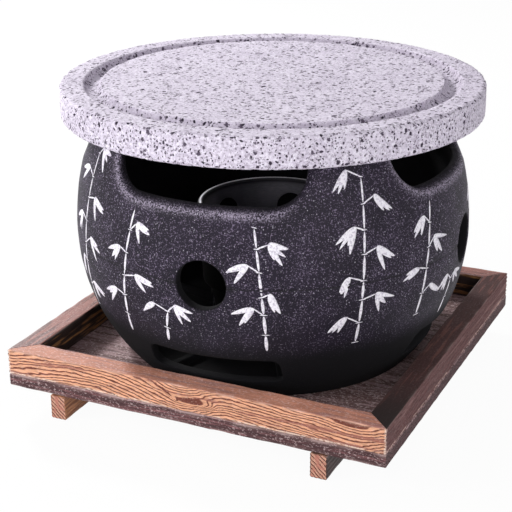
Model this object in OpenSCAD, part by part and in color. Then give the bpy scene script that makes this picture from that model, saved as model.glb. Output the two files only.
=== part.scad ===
// Table-top charcoal brazier: cast bowl with four rim notches, four round vents and
// four low air slots, standing in a mitred wooden tray on two runners, with a loose
// stone grill slab on its rim lugs and a loose charcoal cup with its grate inside.
// Millimetres. Z is up, the table is z = 0, and the front faces -Y.

/* [Stone slab] */
// How far the slab reaches past the widest part of the bowl
slab_overhang = 5.3; // [1:0.1:15]
// Thickness of the slab
slab_t = 16; // [10:0.5:30]
// Radius of the slab's worn outer edges
slab_edge_r = 1.8; // [0.5:0.1:4]
// Width of the flat rim outside the juice groove
slab_rim_w = 12.6; // [6:0.2:25]
// Width of the juice groove
groove_w = 8.6; // [4:0.2:14]
// Depth of the juice groove
groove_d = 3.8; // [1.5:0.1:6]

/* [Bowl] */
// Widest diameter of the bowl
bowl_d = 209.4; // [150:1:300]
// Height of the bowl
bowl_h = 129; // [110:1:160]
// Height of the widest part over the bowl's base
belly_z = 68.5; // [50:0.5:85]
// Half height of the ellipse that rounds the upper part
upper_h = 121.5; // [90:0.5:180]
// Half height of the ellipse that rounds the lower part
lower_h = 102.5; // [90:0.5:180]
// Wall thickness of the casting
bowl_wall = 6; // [3:0.5:9]
// Thickness of the casting's floor
floor_t = 4; // [3:0.5:8]
// Height of the foot ring under the floor
foot_ring_h = 2; // [1:0.5:5]
// Width of the foot ring
foot_ring_w = 10; // [5:0.5:20]
// How far the bowl stands turned in its tray
bowl_turn = 5.2; // [-45:0.1:45]

/* [Rim notches] */
// Width of each notch between the rim lugs
notch_w = 99.5; // [60:0.5:118]
// How far each notch lies off its vent's middle, towards the right seen from outside
notch_shift = -2.7; // [-6:0.1:6]
// Depth of each notch below the rim
notch_depth = 22.5; // [12:0.5:35]
// Radius of the notch's lower corners
notch_r = 14; // [4:0.5:20]

/* [Vents and air slots] */
// Diameter of the four round vents at the belly
vent_d = 25; // [12:0.5:40]
// Width of each low air slot
slot_w = 68; // [30:1:90]
// Height of each low air slot
slot_h = 14.4; // [8:0.2:22]
// Height of the slot's sill over the bowl's base
slot_sill = 13.3; // [12:0.1:20]
// Corner radius of the air slots
slot_r = 4; // [1:0.5:7]

/* [Floor ribs] */
// Number of cast ribs on the floor
rib_count = 8; // [4:1:12]
// Width of a rib
rib_w = 4; // [2:0.5:8]
// Height of the ribs that carry the cup
rib_h = 3; // [1.5:0.5:5]
// Distance from the axis to the ribs' inner ends
rib_start = 22; // [10:1:26]
// Height of the nibs that keep the cup centred
nib_h = 2; // [1:0.5:3]
// Length of a nib along its rib
nib_l = 6; // [3:0.5:10]

/* [Charcoal cup] */
// Diameter of the cup's foot
cup_foot_d = 68; // [60:1:90]
// Height of the cup
cup_h = 69; // [50:1:90]
// Thickness of the cup's sheet
cup_wall = 1.5; // [0.8:0.1:3]
// Height of the step that carries the grate
cup_step_z = 25; // [20:0.5:30]
// Width of the step that carries the grate
cup_step_w = 4.5; // [3:0.5:8]
// How much wider the mouth is than the step, on each side
cup_flare = 0.5; // [0:0.5:8]
// Radius of the rolled bead round the mouth
bead_r = 1.5; // [1:0.1:3]
// Number of air holes in each row
cup_holes = 6; // [4:1:12]
// Diameter of the upper air holes
cup_vent_d = 17; // [6:0.5:20]
// Depth of the upper air holes' centres below the mouth
cup_vent_drop = 17; // [12:0.5:24]
// Diameter of the lower air holes
cup_draft_d = 10; // [4:0.5:12]
// Height of the lower air holes' centres over the cup's base
cup_draft_z = 13; // [9:0.5:14]
// How far the cup stands turned in the bowl
cup_turn = 8; // [0:1:45]

/* [Fire grate] */
// Thickness of the grate
grate_t = 2.5; // [1.5:0.5:5]
// Diameter of the grate's holes
grate_hole_d = 5; // [3:0.5:6]
// Distance between the grate's rings of holes
grate_pitch = 9; // [8:0.5:14]

/* [Tray] */
// Thickness of the board under the bowl
board_t = 7; // [5:0.5:15]
// Width of the rails
rail_w = 12.5; // [8:0.5:25]
// Height of the rails over the board
rail_h = 14; // [9:0.5:20]
// Gap between the bowl and the rails, at the rails' top
tray_gap = 3.3; // [1:0.1:20]
// Width of the runners
runner_w = 9; // [6:0.5:25]
// Height of the runners
runner_h = 13.5; // [5:0.5:25]
// Distance from the tray's side to the middle of a runner
runner_inset = 31.5; // [20:0.5:50]
// How far the pair of runners lies off the tray's middle, towards the right
runner_shift = -2.2; // [-6:0.1:6]

/* [Nails] */
// Diameter of the nails' shanks
nail_d = 1.6; // [1:0.1:2.5]
// Diameter of the nails' heads
nail_head_d = 3.2; // [2.8:0.1:5]
// Thickness of the nails' heads
nail_head_t = 0.8; // [0.5:0.1:1.5]
// Length of the nails' points
nail_point = 2; // [1:0.5:3]
// Wood left over the points of the nails in the rails
rail_cover = 5; // [2:0.5:6]
// Wood left over the points of the nails in the board
board_cover = 2; // [1:0.5:3]
// Distance from a runner to the nails of the front and back rails
nail_from_runner = 36; // [15:1:50]
// Distance from the tray's corner to the nails of the side rails
nail_from_corner = 50; // [30:1:80]
// Distance from the tray's front and back to the runners' end nails
nail_from_end = 24; // [15:1:60]

/* [Clearances] */
// Play between the cup's foot and the nibs
cup_play = 0.6; // [0.3:0.1:2]
// Play between the grate and the cup
grate_play = 0.5; // [0.3:0.1:2]
// Play round a nail in its hole
nail_play = 0.1; // [0.05:0.05:0.3]

/* [Hidden] */

$fn = 96;
fn_hole = 32;        // sides of the small round holes, over the limit at which they stay true circles
arc_steps = 8;       // points along a rounded edge
profile_steps = 7;   // points along each half of the bowl's profile
quarters = 4;        // notches, vents and slots repeat every quarter turn
quarter = 90;        // degrees in a quarter turn
vent_start = 37;     // angle at which a vent's circle starts, clear of the belly's edge
eps = 0.01;          // overlap that keeps cuts and joins clean

// Colours as the photograph shows them
stone_colour = [0.72, 0.69, 0.73];
coat_colour = [0.13, 0.12, 0.14];
steel_colour = [0.36, 0.36, 0.38];
iron_colour = [0.18, 0.17, 0.17];
front_wood = [0.66, 0.40, 0.27];
side_wood = [0.30, 0.19, 0.17];
board_wood = [0.33, 0.26, 0.24];
end_wood = [0.70, 0.45, 0.30];
nail_colour = [0.62, 0.62, 0.62];

bowl_r = bowl_d / 2;
board_z = runner_h;
base_z = board_z + board_t;
slab_z = base_z + bowl_h;
slab_radius = bowl_r + slab_overhang;

// Outer radius of the bowl at height h over its base
function bowl_at(h) =
    let (half = h > belly_z ? upper_h : lower_h)
    bowl_r * sqrt(1 - pow((h - belly_z) / half, 2));

// The tray's inside clears the bowl at the height of the rails' top
tray_half = bowl_at(rail_h) + tray_gap + rail_w;
runner_x = tray_half - runner_inset;

floor_z = foot_ring_h + floor_t;              // top of the bowl's floor over its base
floor_r = bowl_at(floor_z) - bowl_wall;       // radius of the floor inside
recess_r = bowl_at(0) - foot_ring_w;          // radius of the recess inside the foot ring
rib_turn = 180 / rib_count;                   // ribs stand to both sides of each slot's middle

cup_foot_r = cup_foot_d / 2;
cup_base_z = base_z + floor_z + rib_h;
step_r = cup_foot_r + cup_step_w;             // cup's outer radius over its step
mouth_r = step_r + cup_flare;
grate_r = step_r - cup_wall - grate_play;
grate_z = cup_base_z + cup_step_z + cup_wall;
grate_rings = floor((cup_foot_r - cup_wall - grate_hole_d / 2) / grate_pitch);

groove_mid = slab_radius - slab_rim_w - groove_w / 2;
groove_arc = (pow(groove_w / 2, 2) + pow(groove_d, 2)) / (2 * groove_d);

// Points of an arc round c, from angle a0 to a1
function arc(c, r, a0, a1) =
    [for (i = [0 : arc_steps]) let (a = a0 + (a1 - a0) * i / arc_steps)
        [c[0] + r * cos(a), c[1] + r * sin(a)]];

// Points of the bowl's wall from height h0 up or down to h1, drawn in from the outside by t;
// skip leaves out the first point where the last stretch ended on it
function wall_points(h0, h1, t, skip = 0) =
    [for (i = [skip : profile_steps]) let (h = h0 + (h1 - h0) * i / profile_steps)
        [bowl_at(h) - t, h]];

// Slot or notch outline, w wide and h high, round at its lower corners and, if asked, its upper ones
module slot_outline(w, h, r, round_top) {
    side_h = round_top ? h - 2 * r : h - r;
    translate([-w / 2, r]) square([w, side_h]);
    translate([-w / 2 + r, 0]) square([w - 2 * r, h]);
    for (x = [-w / 2 + r, w / 2 - r]) {
        translate([x, r]) circle(r, $fn = fn_hole);
        if (round_top) translate([x, h - r]) circle(r, $fn = fn_hole);
    }
}

// Turns a flat outline into a cutter that runs from the axis out through the front wall
module front_cutter() {
    rotate([90, 0, 0]) linear_extrude(bowl_d) children();
}

module stone_slab() {
    bottom = arc([slab_radius - slab_edge_r, slab_edge_r], slab_edge_r, -quarter, 0);
    top = arc([slab_radius - slab_edge_r, slab_t - slab_edge_r], slab_edge_r, 0, quarter);
    reach = asin(groove_w / 2 / groove_arc);
    centre = [groove_mid, slab_t - groove_d + groove_arc];
    groove = arc(centre, groove_arc, -quarter + reach, -quarter - reach);
    color(stone_colour) translate([0, 0, slab_z]) rotate_extrude()
        polygon(concat([[0, 0]], bottom, top, groove, [[0, slab_t]]));
}

module bowl_shell() {
    rotate_extrude() polygon(concat(
        [[0, foot_ring_h], [recess_r, foot_ring_h], [recess_r, 0]],
        wall_points(0, belly_z, 0), wall_points(belly_z, bowl_h, 0, 1),
        wall_points(bowl_h, belly_z, bowl_wall), wall_points(belly_z, floor_z, bowl_wall, 1),
        [[0, floor_z]]));
}

module floor_ribs() {
    nib_start = cup_foot_r + cup_play;
    for (i = [0 : rib_count - 1]) rotate(rib_turn + i * 360 / rib_count) {
        translate([rib_start, -rib_w / 2, floor_z - floor_t / 2])
            cube([floor_r + bowl_wall / 2 - rib_start, rib_w, floor_t / 2 + rib_h]);
        translate([nib_start, -rib_w / 2, floor_z]) cube([nib_l, rib_w, rib_h + nib_h]);
    }
}

module bowl_openings() {
    corner = min(notch_r, notch_depth - 1, notch_w / 2 - 1);
    slot_corner = min(slot_r, slot_h / 2 - eps);
    for (i = [0 : quarters - 1]) rotate(i * quarter) {
        translate([notch_shift, 0, bowl_h - notch_depth])
            front_cutter() slot_outline(notch_w, 2 * notch_depth, corner, false);
        translate([0, -bowl_r / 2, belly_z]) rotate([90, 0, 0]) rotate(vent_start)
            cylinder(h = bowl_r, d = vent_d);
        translate([0, 0, slot_sill]) front_cutter() slot_outline(slot_w, slot_h, slot_corner, true);
    }
}

module stove_bowl() {
    color(coat_colour) translate([0, 0, base_z]) rotate(bowl_turn) difference() {
        union() {
            bowl_shell();
            floor_ribs();
        }
        bowl_openings();
    }
}

module cup_sheet() {
    bead_z = cup_h - bead_r;
    rotate_extrude() {
        polygon([
            [0, 0], [cup_foot_r, 0], [cup_foot_r, cup_step_z],
            [step_r, cup_step_z], [mouth_r, bead_z], [mouth_r - cup_wall, bead_z],
            [step_r - cup_wall, cup_step_z + cup_wall],
            [cup_foot_r - cup_wall, cup_step_z + cup_wall],
            [cup_foot_r - cup_wall, cup_wall], [0, cup_wall]]);
        translate([mouth_r, bead_z]) circle(bead_r, $fn = fn_hole);
    }
}

// Ring of round holes through the cup's wall, their centres at height z
module cup_hole_ring(z, d) {
    start = cup_foot_r * 3 / 4;
    for (i = [0 : cup_holes - 1]) rotate(i * 360 / cup_holes) translate([0, -start, z])
        rotate([90, 0, 0]) cylinder(h = mouth_r, d = d, $fn = fn_hole);
}

module charcoal_cup() {
    color(steel_colour) translate([0, 0, cup_base_z]) rotate(cup_turn) difference() {
        cup_sheet();
        cup_hole_ring(cup_h - cup_vent_drop, cup_vent_d);
        cup_hole_ring(cup_draft_z, cup_draft_d);
    }
}

module fire_grate() {
    color(iron_colour) translate([0, 0, grate_z]) difference() {
        cylinder(h = grate_t, r = grate_r);
        translate([0, 0, -eps])
            cylinder(h = grate_t + 2 * eps, d = grate_hole_d, $fn = fn_hole);
        for (ring = [1 : grate_rings], i = [0 : 6 * ring - 1])
            rotate(i * 60 / ring) translate([ring * grate_pitch, 0, -eps])
                cylinder(h = grate_t + 2 * eps, d = grate_hole_d, $fn = fn_hole);
    }
}

// Wire nail driven upwards: its head's lower face at z = 0, its point at z = length
module nail(length) {
    cylinder(h = nail_head_t, d = nail_head_d, $fn = fn_hole);
    cylinder(h = length - nail_point, d = nail_d, $fn = fn_hole);
    translate([0, 0, length - nail_point])
        cylinder(h = nail_point, d1 = nail_d, d2 = nail_d / 4, $fn = fn_hole);
}

// Hole that such a nail fills, its head sunk flush and seated on the recess
module nail_hole(length) {
    translate([0, 0, -eps])
        cylinder(h = nail_head_t + eps, d = nail_head_d + 2 * nail_play, $fn = fn_hole);
    cylinder(h = length + nail_play, d = nail_d + 2 * nail_play, $fn = fn_hole);
}

rail_nail_l = board_t + rail_h - rail_cover;
runner_nail_l = runner_h + board_t - board_cover;

// Places of the nails that hold the rails: two in each rail
module at_rail_nails() {
    rail_mid = tray_half - rail_w / 2;
    across = runner_x - nail_from_runner;
    along = tray_half - nail_from_corner;
    for (side = [-1, 1], end = [-1, 1]) {
        translate([end * across, side * rail_mid, board_z]) children();
        translate([side * rail_mid, end * along, board_z]) children();
    }
}

// Places of the nails that hold the runners: three in each runner
module at_runner_nails() {
    for (side = [-1, 1], end = [-1, 0, 1])
        translate([side * runner_x + runner_shift, end * (tray_half - nail_from_end), 0]) children();
}

module rail_nails() {
    color(nail_colour) at_rail_nails() nail(rail_nail_l);
}

module runner_nails() {
    color(nail_colour) at_runner_nails() nail(runner_nail_l);
}

// Rail along the front, mitred at both ends, then turned to its own side
module rail(turn, colour) {
    inner = tray_half - rail_w;
    color(colour) difference() {
        rotate(turn) translate([0, 0, base_z]) linear_extrude(rail_h)
            polygon([[-tray_half, -tray_half], [tray_half, -tray_half], [inner, -inner], [-inner, -inner]]);
        at_rail_nails() nail_hole(rail_nail_l);
    }
}

module front_rail() rail(0, front_wood);
module right_rail() rail(quarter, side_wood);
module back_rail() rail(2 * quarter, side_wood);
module left_rail() rail(-quarter, side_wood);

module tray_board() {
    color(board_wood) difference() {
        translate([-tray_half, -tray_half, board_z]) cube([2 * tray_half, 2 * tray_half, board_t]);
        at_rail_nails() nail_hole(rail_nail_l);
        at_runner_nails() nail_hole(runner_nail_l);
    }
}

module runner(side) {
    middle = side * runner_x + runner_shift;
    color(end_wood) difference() {
        translate([middle - runner_w / 2, -tray_half, 0]) cube([runner_w, 2 * tray_half, runner_h]);
        at_runner_nails() nail_hole(runner_nail_l);
    }
}

module left_runner() runner(-1);
module right_runner() runner(1);

stone_slab();
stove_bowl();
charcoal_cup();
fire_grate();
tray_board();
front_rail();
back_rail();
left_rail();
right_rail();
left_runner();
right_runner();
rail_nails();
runner_nails();
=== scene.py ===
import math

import bmesh
import bpy
import numpy as np
from mathutils import Matrix, Vector
from mathutils.geometry import delaunay_2d_cdt


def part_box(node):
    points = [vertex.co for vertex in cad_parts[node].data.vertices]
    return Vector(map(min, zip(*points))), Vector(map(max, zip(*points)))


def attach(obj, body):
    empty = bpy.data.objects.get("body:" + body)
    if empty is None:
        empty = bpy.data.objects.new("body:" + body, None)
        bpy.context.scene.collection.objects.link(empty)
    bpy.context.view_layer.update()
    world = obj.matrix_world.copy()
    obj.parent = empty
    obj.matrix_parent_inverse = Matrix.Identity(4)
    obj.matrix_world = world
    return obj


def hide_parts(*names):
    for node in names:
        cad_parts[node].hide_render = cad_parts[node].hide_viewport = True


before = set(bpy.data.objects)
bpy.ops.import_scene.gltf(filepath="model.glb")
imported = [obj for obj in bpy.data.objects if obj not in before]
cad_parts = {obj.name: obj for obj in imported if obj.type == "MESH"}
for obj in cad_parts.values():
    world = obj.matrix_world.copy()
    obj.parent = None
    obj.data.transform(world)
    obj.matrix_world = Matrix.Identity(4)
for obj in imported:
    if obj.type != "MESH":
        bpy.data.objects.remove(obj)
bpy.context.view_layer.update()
mm = 0.001  # the mesh code below works in millimetres


def frameBox(node):
    low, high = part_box(node)
    return np.array(low) / mm, np.array(high) / mm


def perMetre(size):
    # Texture scale at which a pattern repeats about every size millimetres
    return 1 / (size * mm)


# Shared mesh helpers

def waviness(points, wavelength, seed, waves=16):
    # Soft random field of about -1 to 1, the same on every run; wavelength may differ by axis
    dice = np.random.default_rng(seed)
    directions = dice.normal(size=(waves, 3))
    directions /= np.linalg.norm(directions, axis=1)[:, None]
    stretch = 2 * np.pi / np.asarray(wavelength, dtype=float) * np.ones(3)
    phases = dice.uniform(0, 2 * np.pi, waves)
    pace = dice.uniform(0.6, 1.4, waves)
    turns = (np.asarray(points) * stretch) @ directions.T * pace + phases
    return np.sin(turns).sum(axis=1) / math.sqrt(waves)


def smoothStep(values, low, high):
    share = np.clip((values - low) / (high - low), 0, 1)
    return share * share * (3 - 2 * share)


def triangulate(loops, others):
    # Triangles over flat points inside the first loop, leaving out the holes that the other loops bound
    points = np.concatenate([*loops, *others])
    edges, first = [], 0
    for loop in loops:
        count = len(loop)
        edges += [(first + k, first + (k + 1) % count) for k in range(count)]
        first += count
    insideOnly = 1
    found, _, faces, *_ = delaunay_2d_cdt([Vector(p) for p in points], edges, [], insideOnly, 1e-6)
    flat = np.array([(v.x, v.y) for v in found])
    faces = np.array(faces)
    centres = flat[faces].mean(axis=1)
    keep = np.ones(len(faces), dtype=bool)
    for loop in loops[1:]:
        keep &= ~insideLoop(centres, loop)
    return flat, faces[keep]


def insideLoop(points, loop):
    # Even-odd test of many flat points against one closed loop
    loop = np.asarray(loop)
    after = np.roll(loop, -1, axis=0)
    inside = np.zeros(len(points), dtype=bool)
    for (x0, y0), (x1, y1) in zip(loop, after):
        spans = (y0 > points[:, 1]) != (y1 > points[:, 1])
        if y0 != y1:
            inside ^= spans & (points[:, 0] < (x1 - x0) * (points[:, 1] - y0) / (y1 - y0) + x0)
    return inside


def openEdges(faces):
    # Edges that only one triangle uses, in that triangle's direction
    pairs = np.concatenate([faces[:, [0, 1]], faces[:, [1, 2]], faces[:, [2, 0]]])
    keys = np.sort(pairs, axis=1)
    _, first, counts = np.unique(keys, axis=0, return_index=True, return_counts=True)
    return pairs[first[counts == 1]]


def addPiece(name, points, faces, material, attributes=None, crease=None, weld=0.004):
    # Closed piece from points in millimetres, welded, with its faces pointing outwards
    mesh = bpy.data.meshes.new(name)
    mesh.from_pydata((np.asarray(points, dtype=float) * mm).tolist(), [], faces)
    for key, values in (attributes or {}).items():
        values = np.asarray(values, dtype=np.float32)
        kind, slot = ("FLOAT", "value") if values.ndim == 1 else ("FLOAT_VECTOR", "vector")
        mesh.attributes.new(key, kind, "POINT").data.foreach_set(slot, values.ravel())
    work = bmesh.new()
    work.from_mesh(mesh)
    bmesh.ops.remove_doubles(work, verts=work.verts, dist=weld * mm)
    bmesh.ops.delete(work, geom=[edge for edge in work.edges if not edge.link_faces], context="EDGES")
    bmesh.ops.recalc_face_normals(work, faces=work.faces)
    loose = sum(1 for edge in work.edges if not edge.is_manifold)
    work.to_mesh(mesh)
    work.free()
    mesh.shade_smooth()
    if crease:
        mesh.set_sharp_from_angle(angle=math.radians(crease))
    mesh.materials.append(material)
    piece = bpy.data.objects.new(name, mesh)
    bpy.context.scene.collection.objects.link(piece)
    print("made", name, len(mesh.vertices), "points", len(mesh.polygons), "faces,", loose, "open edges")
    return piece


def grid(rows):
    # Quads between rows of equally many points, as one point list and one face list
    rows = [np.asarray(row) for row in rows]
    count = len(rows[0])
    faces = []
    for r in range(len(rows) - 1):
        for c in range(count - 1):
            a = r * count + c
            faces.append((a, a + 1, a + count + 1, a + count))
    return np.concatenate(rows), faces


def repeated(faces, count, copies):
    # Faces of one part of a ring, and the same for each of its further copies
    return [tuple(i + k * count for i in face) for k in range(copies) for face in faces]


def shellFromSheet(flat, faces, gaps, half, place, isSeam):
    # Solid wall over a flat sheet: both faces, rounded over beside every cut, and a band along the cut edges.
    # Each gap is a distance from a cut and the outer and inner faces' rounds beside it
    sides = []
    for face in (1, 2):
        thick = np.full(len(flat), float(half))
        for gap in gaps:
            radius = gap[face]
            into = radius - np.clip(gap[0], 0, radius)
            thick = np.minimum(thick, half - radius + np.sqrt(radius ** 2 - into ** 2))
        sides.append(thick)
    count = len(flat)
    band = [(a, b, b + count, a + count) for a, b in openEdges(faces) if not isSeam(flat[a], flat[b])]
    points = np.concatenate([place(flat, sides[0]), place(flat, -sides[1])])
    return points, faces.tolist() + (faces[:, ::-1] + count).tolist() + band


def lattice(lowX, highX, lowY, highY, step):
    # Staggered rows of points over a rectangle
    rows = []
    for j, y in enumerate(np.arange(lowY, highY, step * 0.866)):
        x = np.arange(lowX + 0.5 * step * (j % 2), highX, step)
        rows.append(np.column_stack([x, np.full(len(x), y)]))
    return np.concatenate(rows)


def circlePoints(centre, radius, count):
    angle = np.arange(count) * 2 * np.pi / count
    return np.column_stack([centre[0] + radius * np.cos(angle), centre[1] + radius * np.sin(angle)])


def roundAxis(angle, radius, height):
    # Points round the upright axis, angles counted from the front towards the right
    angle = np.asarray(angle)
    return np.column_stack([radius * np.sin(angle), -radius * np.cos(angle), height + np.zeros(len(angle))])


def runTree(name, base, group, inputs):
    # Runs a geometry tree on a base mesh and returns the result as a plain mesh object
    modifier = base.modifiers.new(name, "NODES")
    modifier.node_group = group
    for item in group.interface.items_tree:
        if item.item_type == "SOCKET" and item.in_out == "INPUT" and item.name in inputs:
            modifier[item.identifier] = inputs[item.name]
    bpy.context.view_layer.update()
    seen = base.evaluated_get(bpy.context.evaluated_depsgraph_get())
    mesh = bpy.data.meshes.new_from_object(seen)
    mesh.name = name
    bpy.data.objects.remove(base)
    piece = bpy.data.objects.new(name, mesh)
    bpy.context.scene.collection.objects.link(piece)
    print("made", name, len(mesh.vertices), "points", len(mesh.polygons), "faces")
    return piece


def newTree(name, inputs):
    # Geometry tree with named inputs, ready for its nodes
    group = bpy.data.node_groups.new(name, "GeometryNodeTree")
    group.interface.new_socket("Geometry", in_out="INPUT", socket_type="NodeSocketGeometry")
    for key, kind in inputs.items():
        group.interface.new_socket(key, in_out="INPUT", socket_type="NodeSocket" + kind)
    group.interface.new_socket("Geometry", in_out="OUTPUT", socket_type="NodeSocketGeometry")
    return group, group.nodes.new("NodeGroupInput").outputs, group.nodes.new("NodeGroupOutput").inputs


def finishTree(group, instances, material, result):
    real = fromNode(group, "GeometryNodeRealizeInstances", {"Geometry": instances})
    dressed = fromNode(group, "GeometryNodeSetMaterial", {"Geometry": real, "Material": material})
    group.links.new(dressed, result["Geometry"])


def pointCloud(name, points):
    mesh = bpy.data.meshes.new(name)
    mesh.from_pydata((np.asarray(points, dtype=float) * mm).tolist(), [], [])
    piece = bpy.data.objects.new(name, mesh)
    bpy.context.scene.collection.objects.link(piece)
    return piece


# Node helpers: groups give colours and masks, and each material keeps its own surface shader

def addNode(tree, kind, given=None, **settings):
    # given holds, for each input by name or number, a socket to link or a plain value to set
    node = tree.nodes.new(kind)
    for key, value in settings.items():
        setattr(node, key, value)
    for key, value in (given or {}).items():
        if isinstance(value, bpy.types.NodeSocket):
            tree.links.new(value, node.inputs[key])
        else:
            node.inputs[key].default_value = value
    return node


def fromNode(tree, kind, given=None, **settings):
    # The first output of a new node
    return addNode(tree, kind, given, **settings).outputs[0]


def mixColours(tree, factor, first, second, blend="MIX"):
    first, second = (value if isinstance(value, bpy.types.NodeSocket) else (*value, 1)
                     for value in (first, second))
    node = addNode(
        tree, "ShaderNodeMix", {0: factor, 6: first, 7: second}, data_type="RGBA", blend_type=blend)
    return node.outputs[2]


def reckon(tree, operation, *given):
    return fromNode(tree, "ShaderNodeMath", dict(enumerate(given)), operation=operation)


def plus(tree, first, second):
    return reckon(tree, "ADD", first, second)


def times(tree, first, second):
    return reckon(tree, "MULTIPLY", first, second)


def ease(tree, value, low, high, start=0.0, end=1.0):
    # Smooth step of a value between two limits
    limits = {"From Min": low, "From Max": high, "To Min": start, "To Max": end}
    return fromNode(tree, "ShaderNodeMapRange", {"Value": value, **limits}, interpolation_type="SMOOTHSTEP")


def attribute(tree, name, output="Fac"):
    return addNode(tree, "ShaderNodeAttribute", attribute_name=name).outputs[output]


def objectPoints(tree, scale=(1, 1, 1)):
    where = addNode(tree, "ShaderNodeTexCoord").outputs["Object"]
    return fromNode(tree, "ShaderNodeMapping", {"Vector": where, "Scale": scale})


def noise(tree, points, size, detail=2.0, roughness=0.5):
    # size is about the width of one blotch in millimetres
    values = {"Scale": perMetre(size), "Detail": detail, "Roughness": roughness}
    return fromNode(tree, "ShaderNodeTexNoise", {"Vector": points, **values})


def strayed(tree, points, size, reach):
    # Points shifted at random by up to reach millimetres, so that round marks turn ragged
    wander = addNode(tree, "ShaderNodeTexNoise", {"Vector": points, "Scale": perMetre(size), "Detail": 2.0})
    centred = fromNode(tree, "ShaderNodeVectorMath", {0: wander.outputs["Color"], 1: (0.5, 0.5, 0.5)},
                       operation="SUBTRACT")
    scaled = fromNode(tree, "ShaderNodeVectorMath", {0: centred, "Scale": 4 * reach * mm}, operation="SCALE")
    return fromNode(tree, "ShaderNodeVectorMath", {0: points, 1: scaled}, operation="ADD")


def mixValues(tree, factor, first, second):
    return fromNode(tree, "ShaderNodeMix", {0: factor, 2: first, 3: second})


def newGroup(name, inputs, outputs):
    group = bpy.data.node_groups.new(name, "ShaderNodeTree")
    for direction, sockets in (("INPUT", inputs), ("OUTPUT", outputs)):
        for key, kind in sockets.items():
            group.interface.new_socket(key, in_out=direction, socket_type="NodeSocket" + kind)
    return group, group.nodes.new("NodeGroupInput").outputs, group.nodes.new("NodeGroupOutput").inputs


def placeGroup(tree, group, given):
    return addNode(tree, "ShaderNodeGroup", given, node_tree=group).outputs


def newMaterial(name, roughness, metallic=0.0):
    material = bpy.data.materials.new(name)
    material.use_nodes = True
    tree = material.node_tree
    surface = tree.nodes["Principled BSDF"]
    surface.inputs["Roughness"].default_value = roughness
    surface.inputs["Metallic"].default_value = metallic
    return material, tree, surface


def addBump(tree, surface, height, depth, strength):
    # Bump of a height that runs from 0 to 1, depth given in millimetres
    bump = fromNode(tree, "ShaderNodeBump", {"Height": height, "Strength": strength, "Distance": depth * mm})
    tree.links.new(bump, surface.inputs["Normal"])


# Speckle: random round grains in cells, shared by the stone and the coat

def makeSpeckle():
    group, given, result = newGroup(
        "speckle", {"Points": "Vector", "Scale": "Float", "Size": "Float", "Share": "Float"},
        {"Mask": "Float"})
    cells = addNode(
        group, "ShaderNodeTexVoronoi", {"Vector": given["Points"], "Scale": given["Scale"]}).outputs
    parts = addNode(group, "ShaderNodeSeparateColor", {"Color": cells["Color"]}).outputs
    chosen = reckon(group, "LESS_THAN", parts["Red"], given["Share"])
    reach = times(group, given["Size"], plus(group, parts["Green"], 0.4))
    near = reckon(group, "SUBTRACT", reach, cells["Distance"])
    edgeSharpness = 9.0
    inside = fromNode(group, "ShaderNodeClamp", {"Value": times(group, near, edgeSharpness)})
    group.links.new(times(group, inside, chosen), result["Mask"])
    return group


speckle = makeSpeckle()


# Grain: growth rings from the mesh's ring attribute with fibres along the piece

latewood = {"rise": (0.48, 0.70), "fall": (0.88, 0.98)}  # where in each ring the dark band grows and ends


def makeGrain():
    group, given, result = newGroup(
        "woodGrain",
        {"Points": "Vector", "Ring": "Float", "Contrast": "Float", "Light": "Color", "Dark": "Color"},
        {"Color": "Color", "Band": "Float", "Fibre": "Float"})
    ragged = noise(group, given["Points"], 0.9, 3.0, 0.6)
    shifted = plus(group, given["Ring"], times(group, reckon(group, "SUBTRACT", ragged, 0.5), 0.30))
    turn = reckon(group, "FRACT", shifted)
    rising = ease(group, turn, *latewood["rise"])
    falling = ease(group, turn, *latewood["fall"], 1.0, 0.0)
    band = times(group, times(group, rising, falling), given["Contrast"])
    fibre = noise(group, given["Points"], 0.45, 4.0, 0.65)
    woody = mixColours(group, band, given["Light"], given["Dark"])
    shade = ease(group, fibre, 0.25, 0.75, 0.62, 1.22)
    grey = fromNode(group, "ShaderNodeCombineColor", {"Red": shade, "Green": shade, "Blue": shade})
    group.links.new(mixColours(group, 1.0, woody, grey, "MULTIPLY"), result["Color"])
    group.links.new(band, result["Band"])
    group.links.new(fibre, result["Fibre"])
    return group


woodGrain = makeGrain()


# Stone slab: one polar sheet over its top, groove and side, and a second one below; pores are cut into both

slabLow, slabHigh = frameBox("stone_slab")
slab = {
    "radius": (slabHigh[0] - slabLow[0]) / 2, "base": slabLow[2], "thickness": slabHigh[2] - slabLow[2],
    "edgeRound": 1.4, "rimWidth": 12.6, "grooveWidth": 8.6, "grooveDepth": 3.8, "lipRound": 0.45,
    "plateauStep": 1.6, "ringStep": 1.0, "aroundStep": 1.25, "underStep": 3.2,
    "topPores": (190, 760), "groovePores": (90, 260), "sidePores": (80, 950), "underPores": (60, 160),
    "topChips": (10, 110), "lowChips": (80, 90), "poreSizes": ((1.15, 2.3), (0.65, 1.2)),
    "unevenness": 0.14, "crumble": 0.55, "seed": 11,
}


def slabProfile():
    # Radius and height along the slab's outline, from the middle of the top to the edge of its underside
    outer, thick, edge = slab["radius"], slab["thickness"], slab["edgeRound"]
    half, depth = slab["grooveWidth"] / 2, slab["grooveDepth"]
    arcRadius = (half ** 2 + depth ** 2) / (2 * depth)
    middle = outer - slab["rimWidth"] - half
    reach = math.asin(half / arcRadius)
    groove = [(middle + arcRadius * math.sin(a), thick - depth + arcRadius * (1 - math.cos(a)))
              for a in np.linspace(-reach, reach, 40)]
    quarter = np.linspace(0, math.pi / 2, 12)
    topEdge = [(outer - edge + edge * math.sin(a), thick - edge + edge * math.cos(a)) for a in quarter]
    lowEdge = [(outer - edge + edge * math.cos(a), edge - edge * math.sin(a)) for a in quarter]
    corners = np.array([(0, thick), *groove, *topEdge, *lowEdge, (outer - edge - 2, 0)])
    return smoothed(corners, 0.1, slab["lipRound"])


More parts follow.
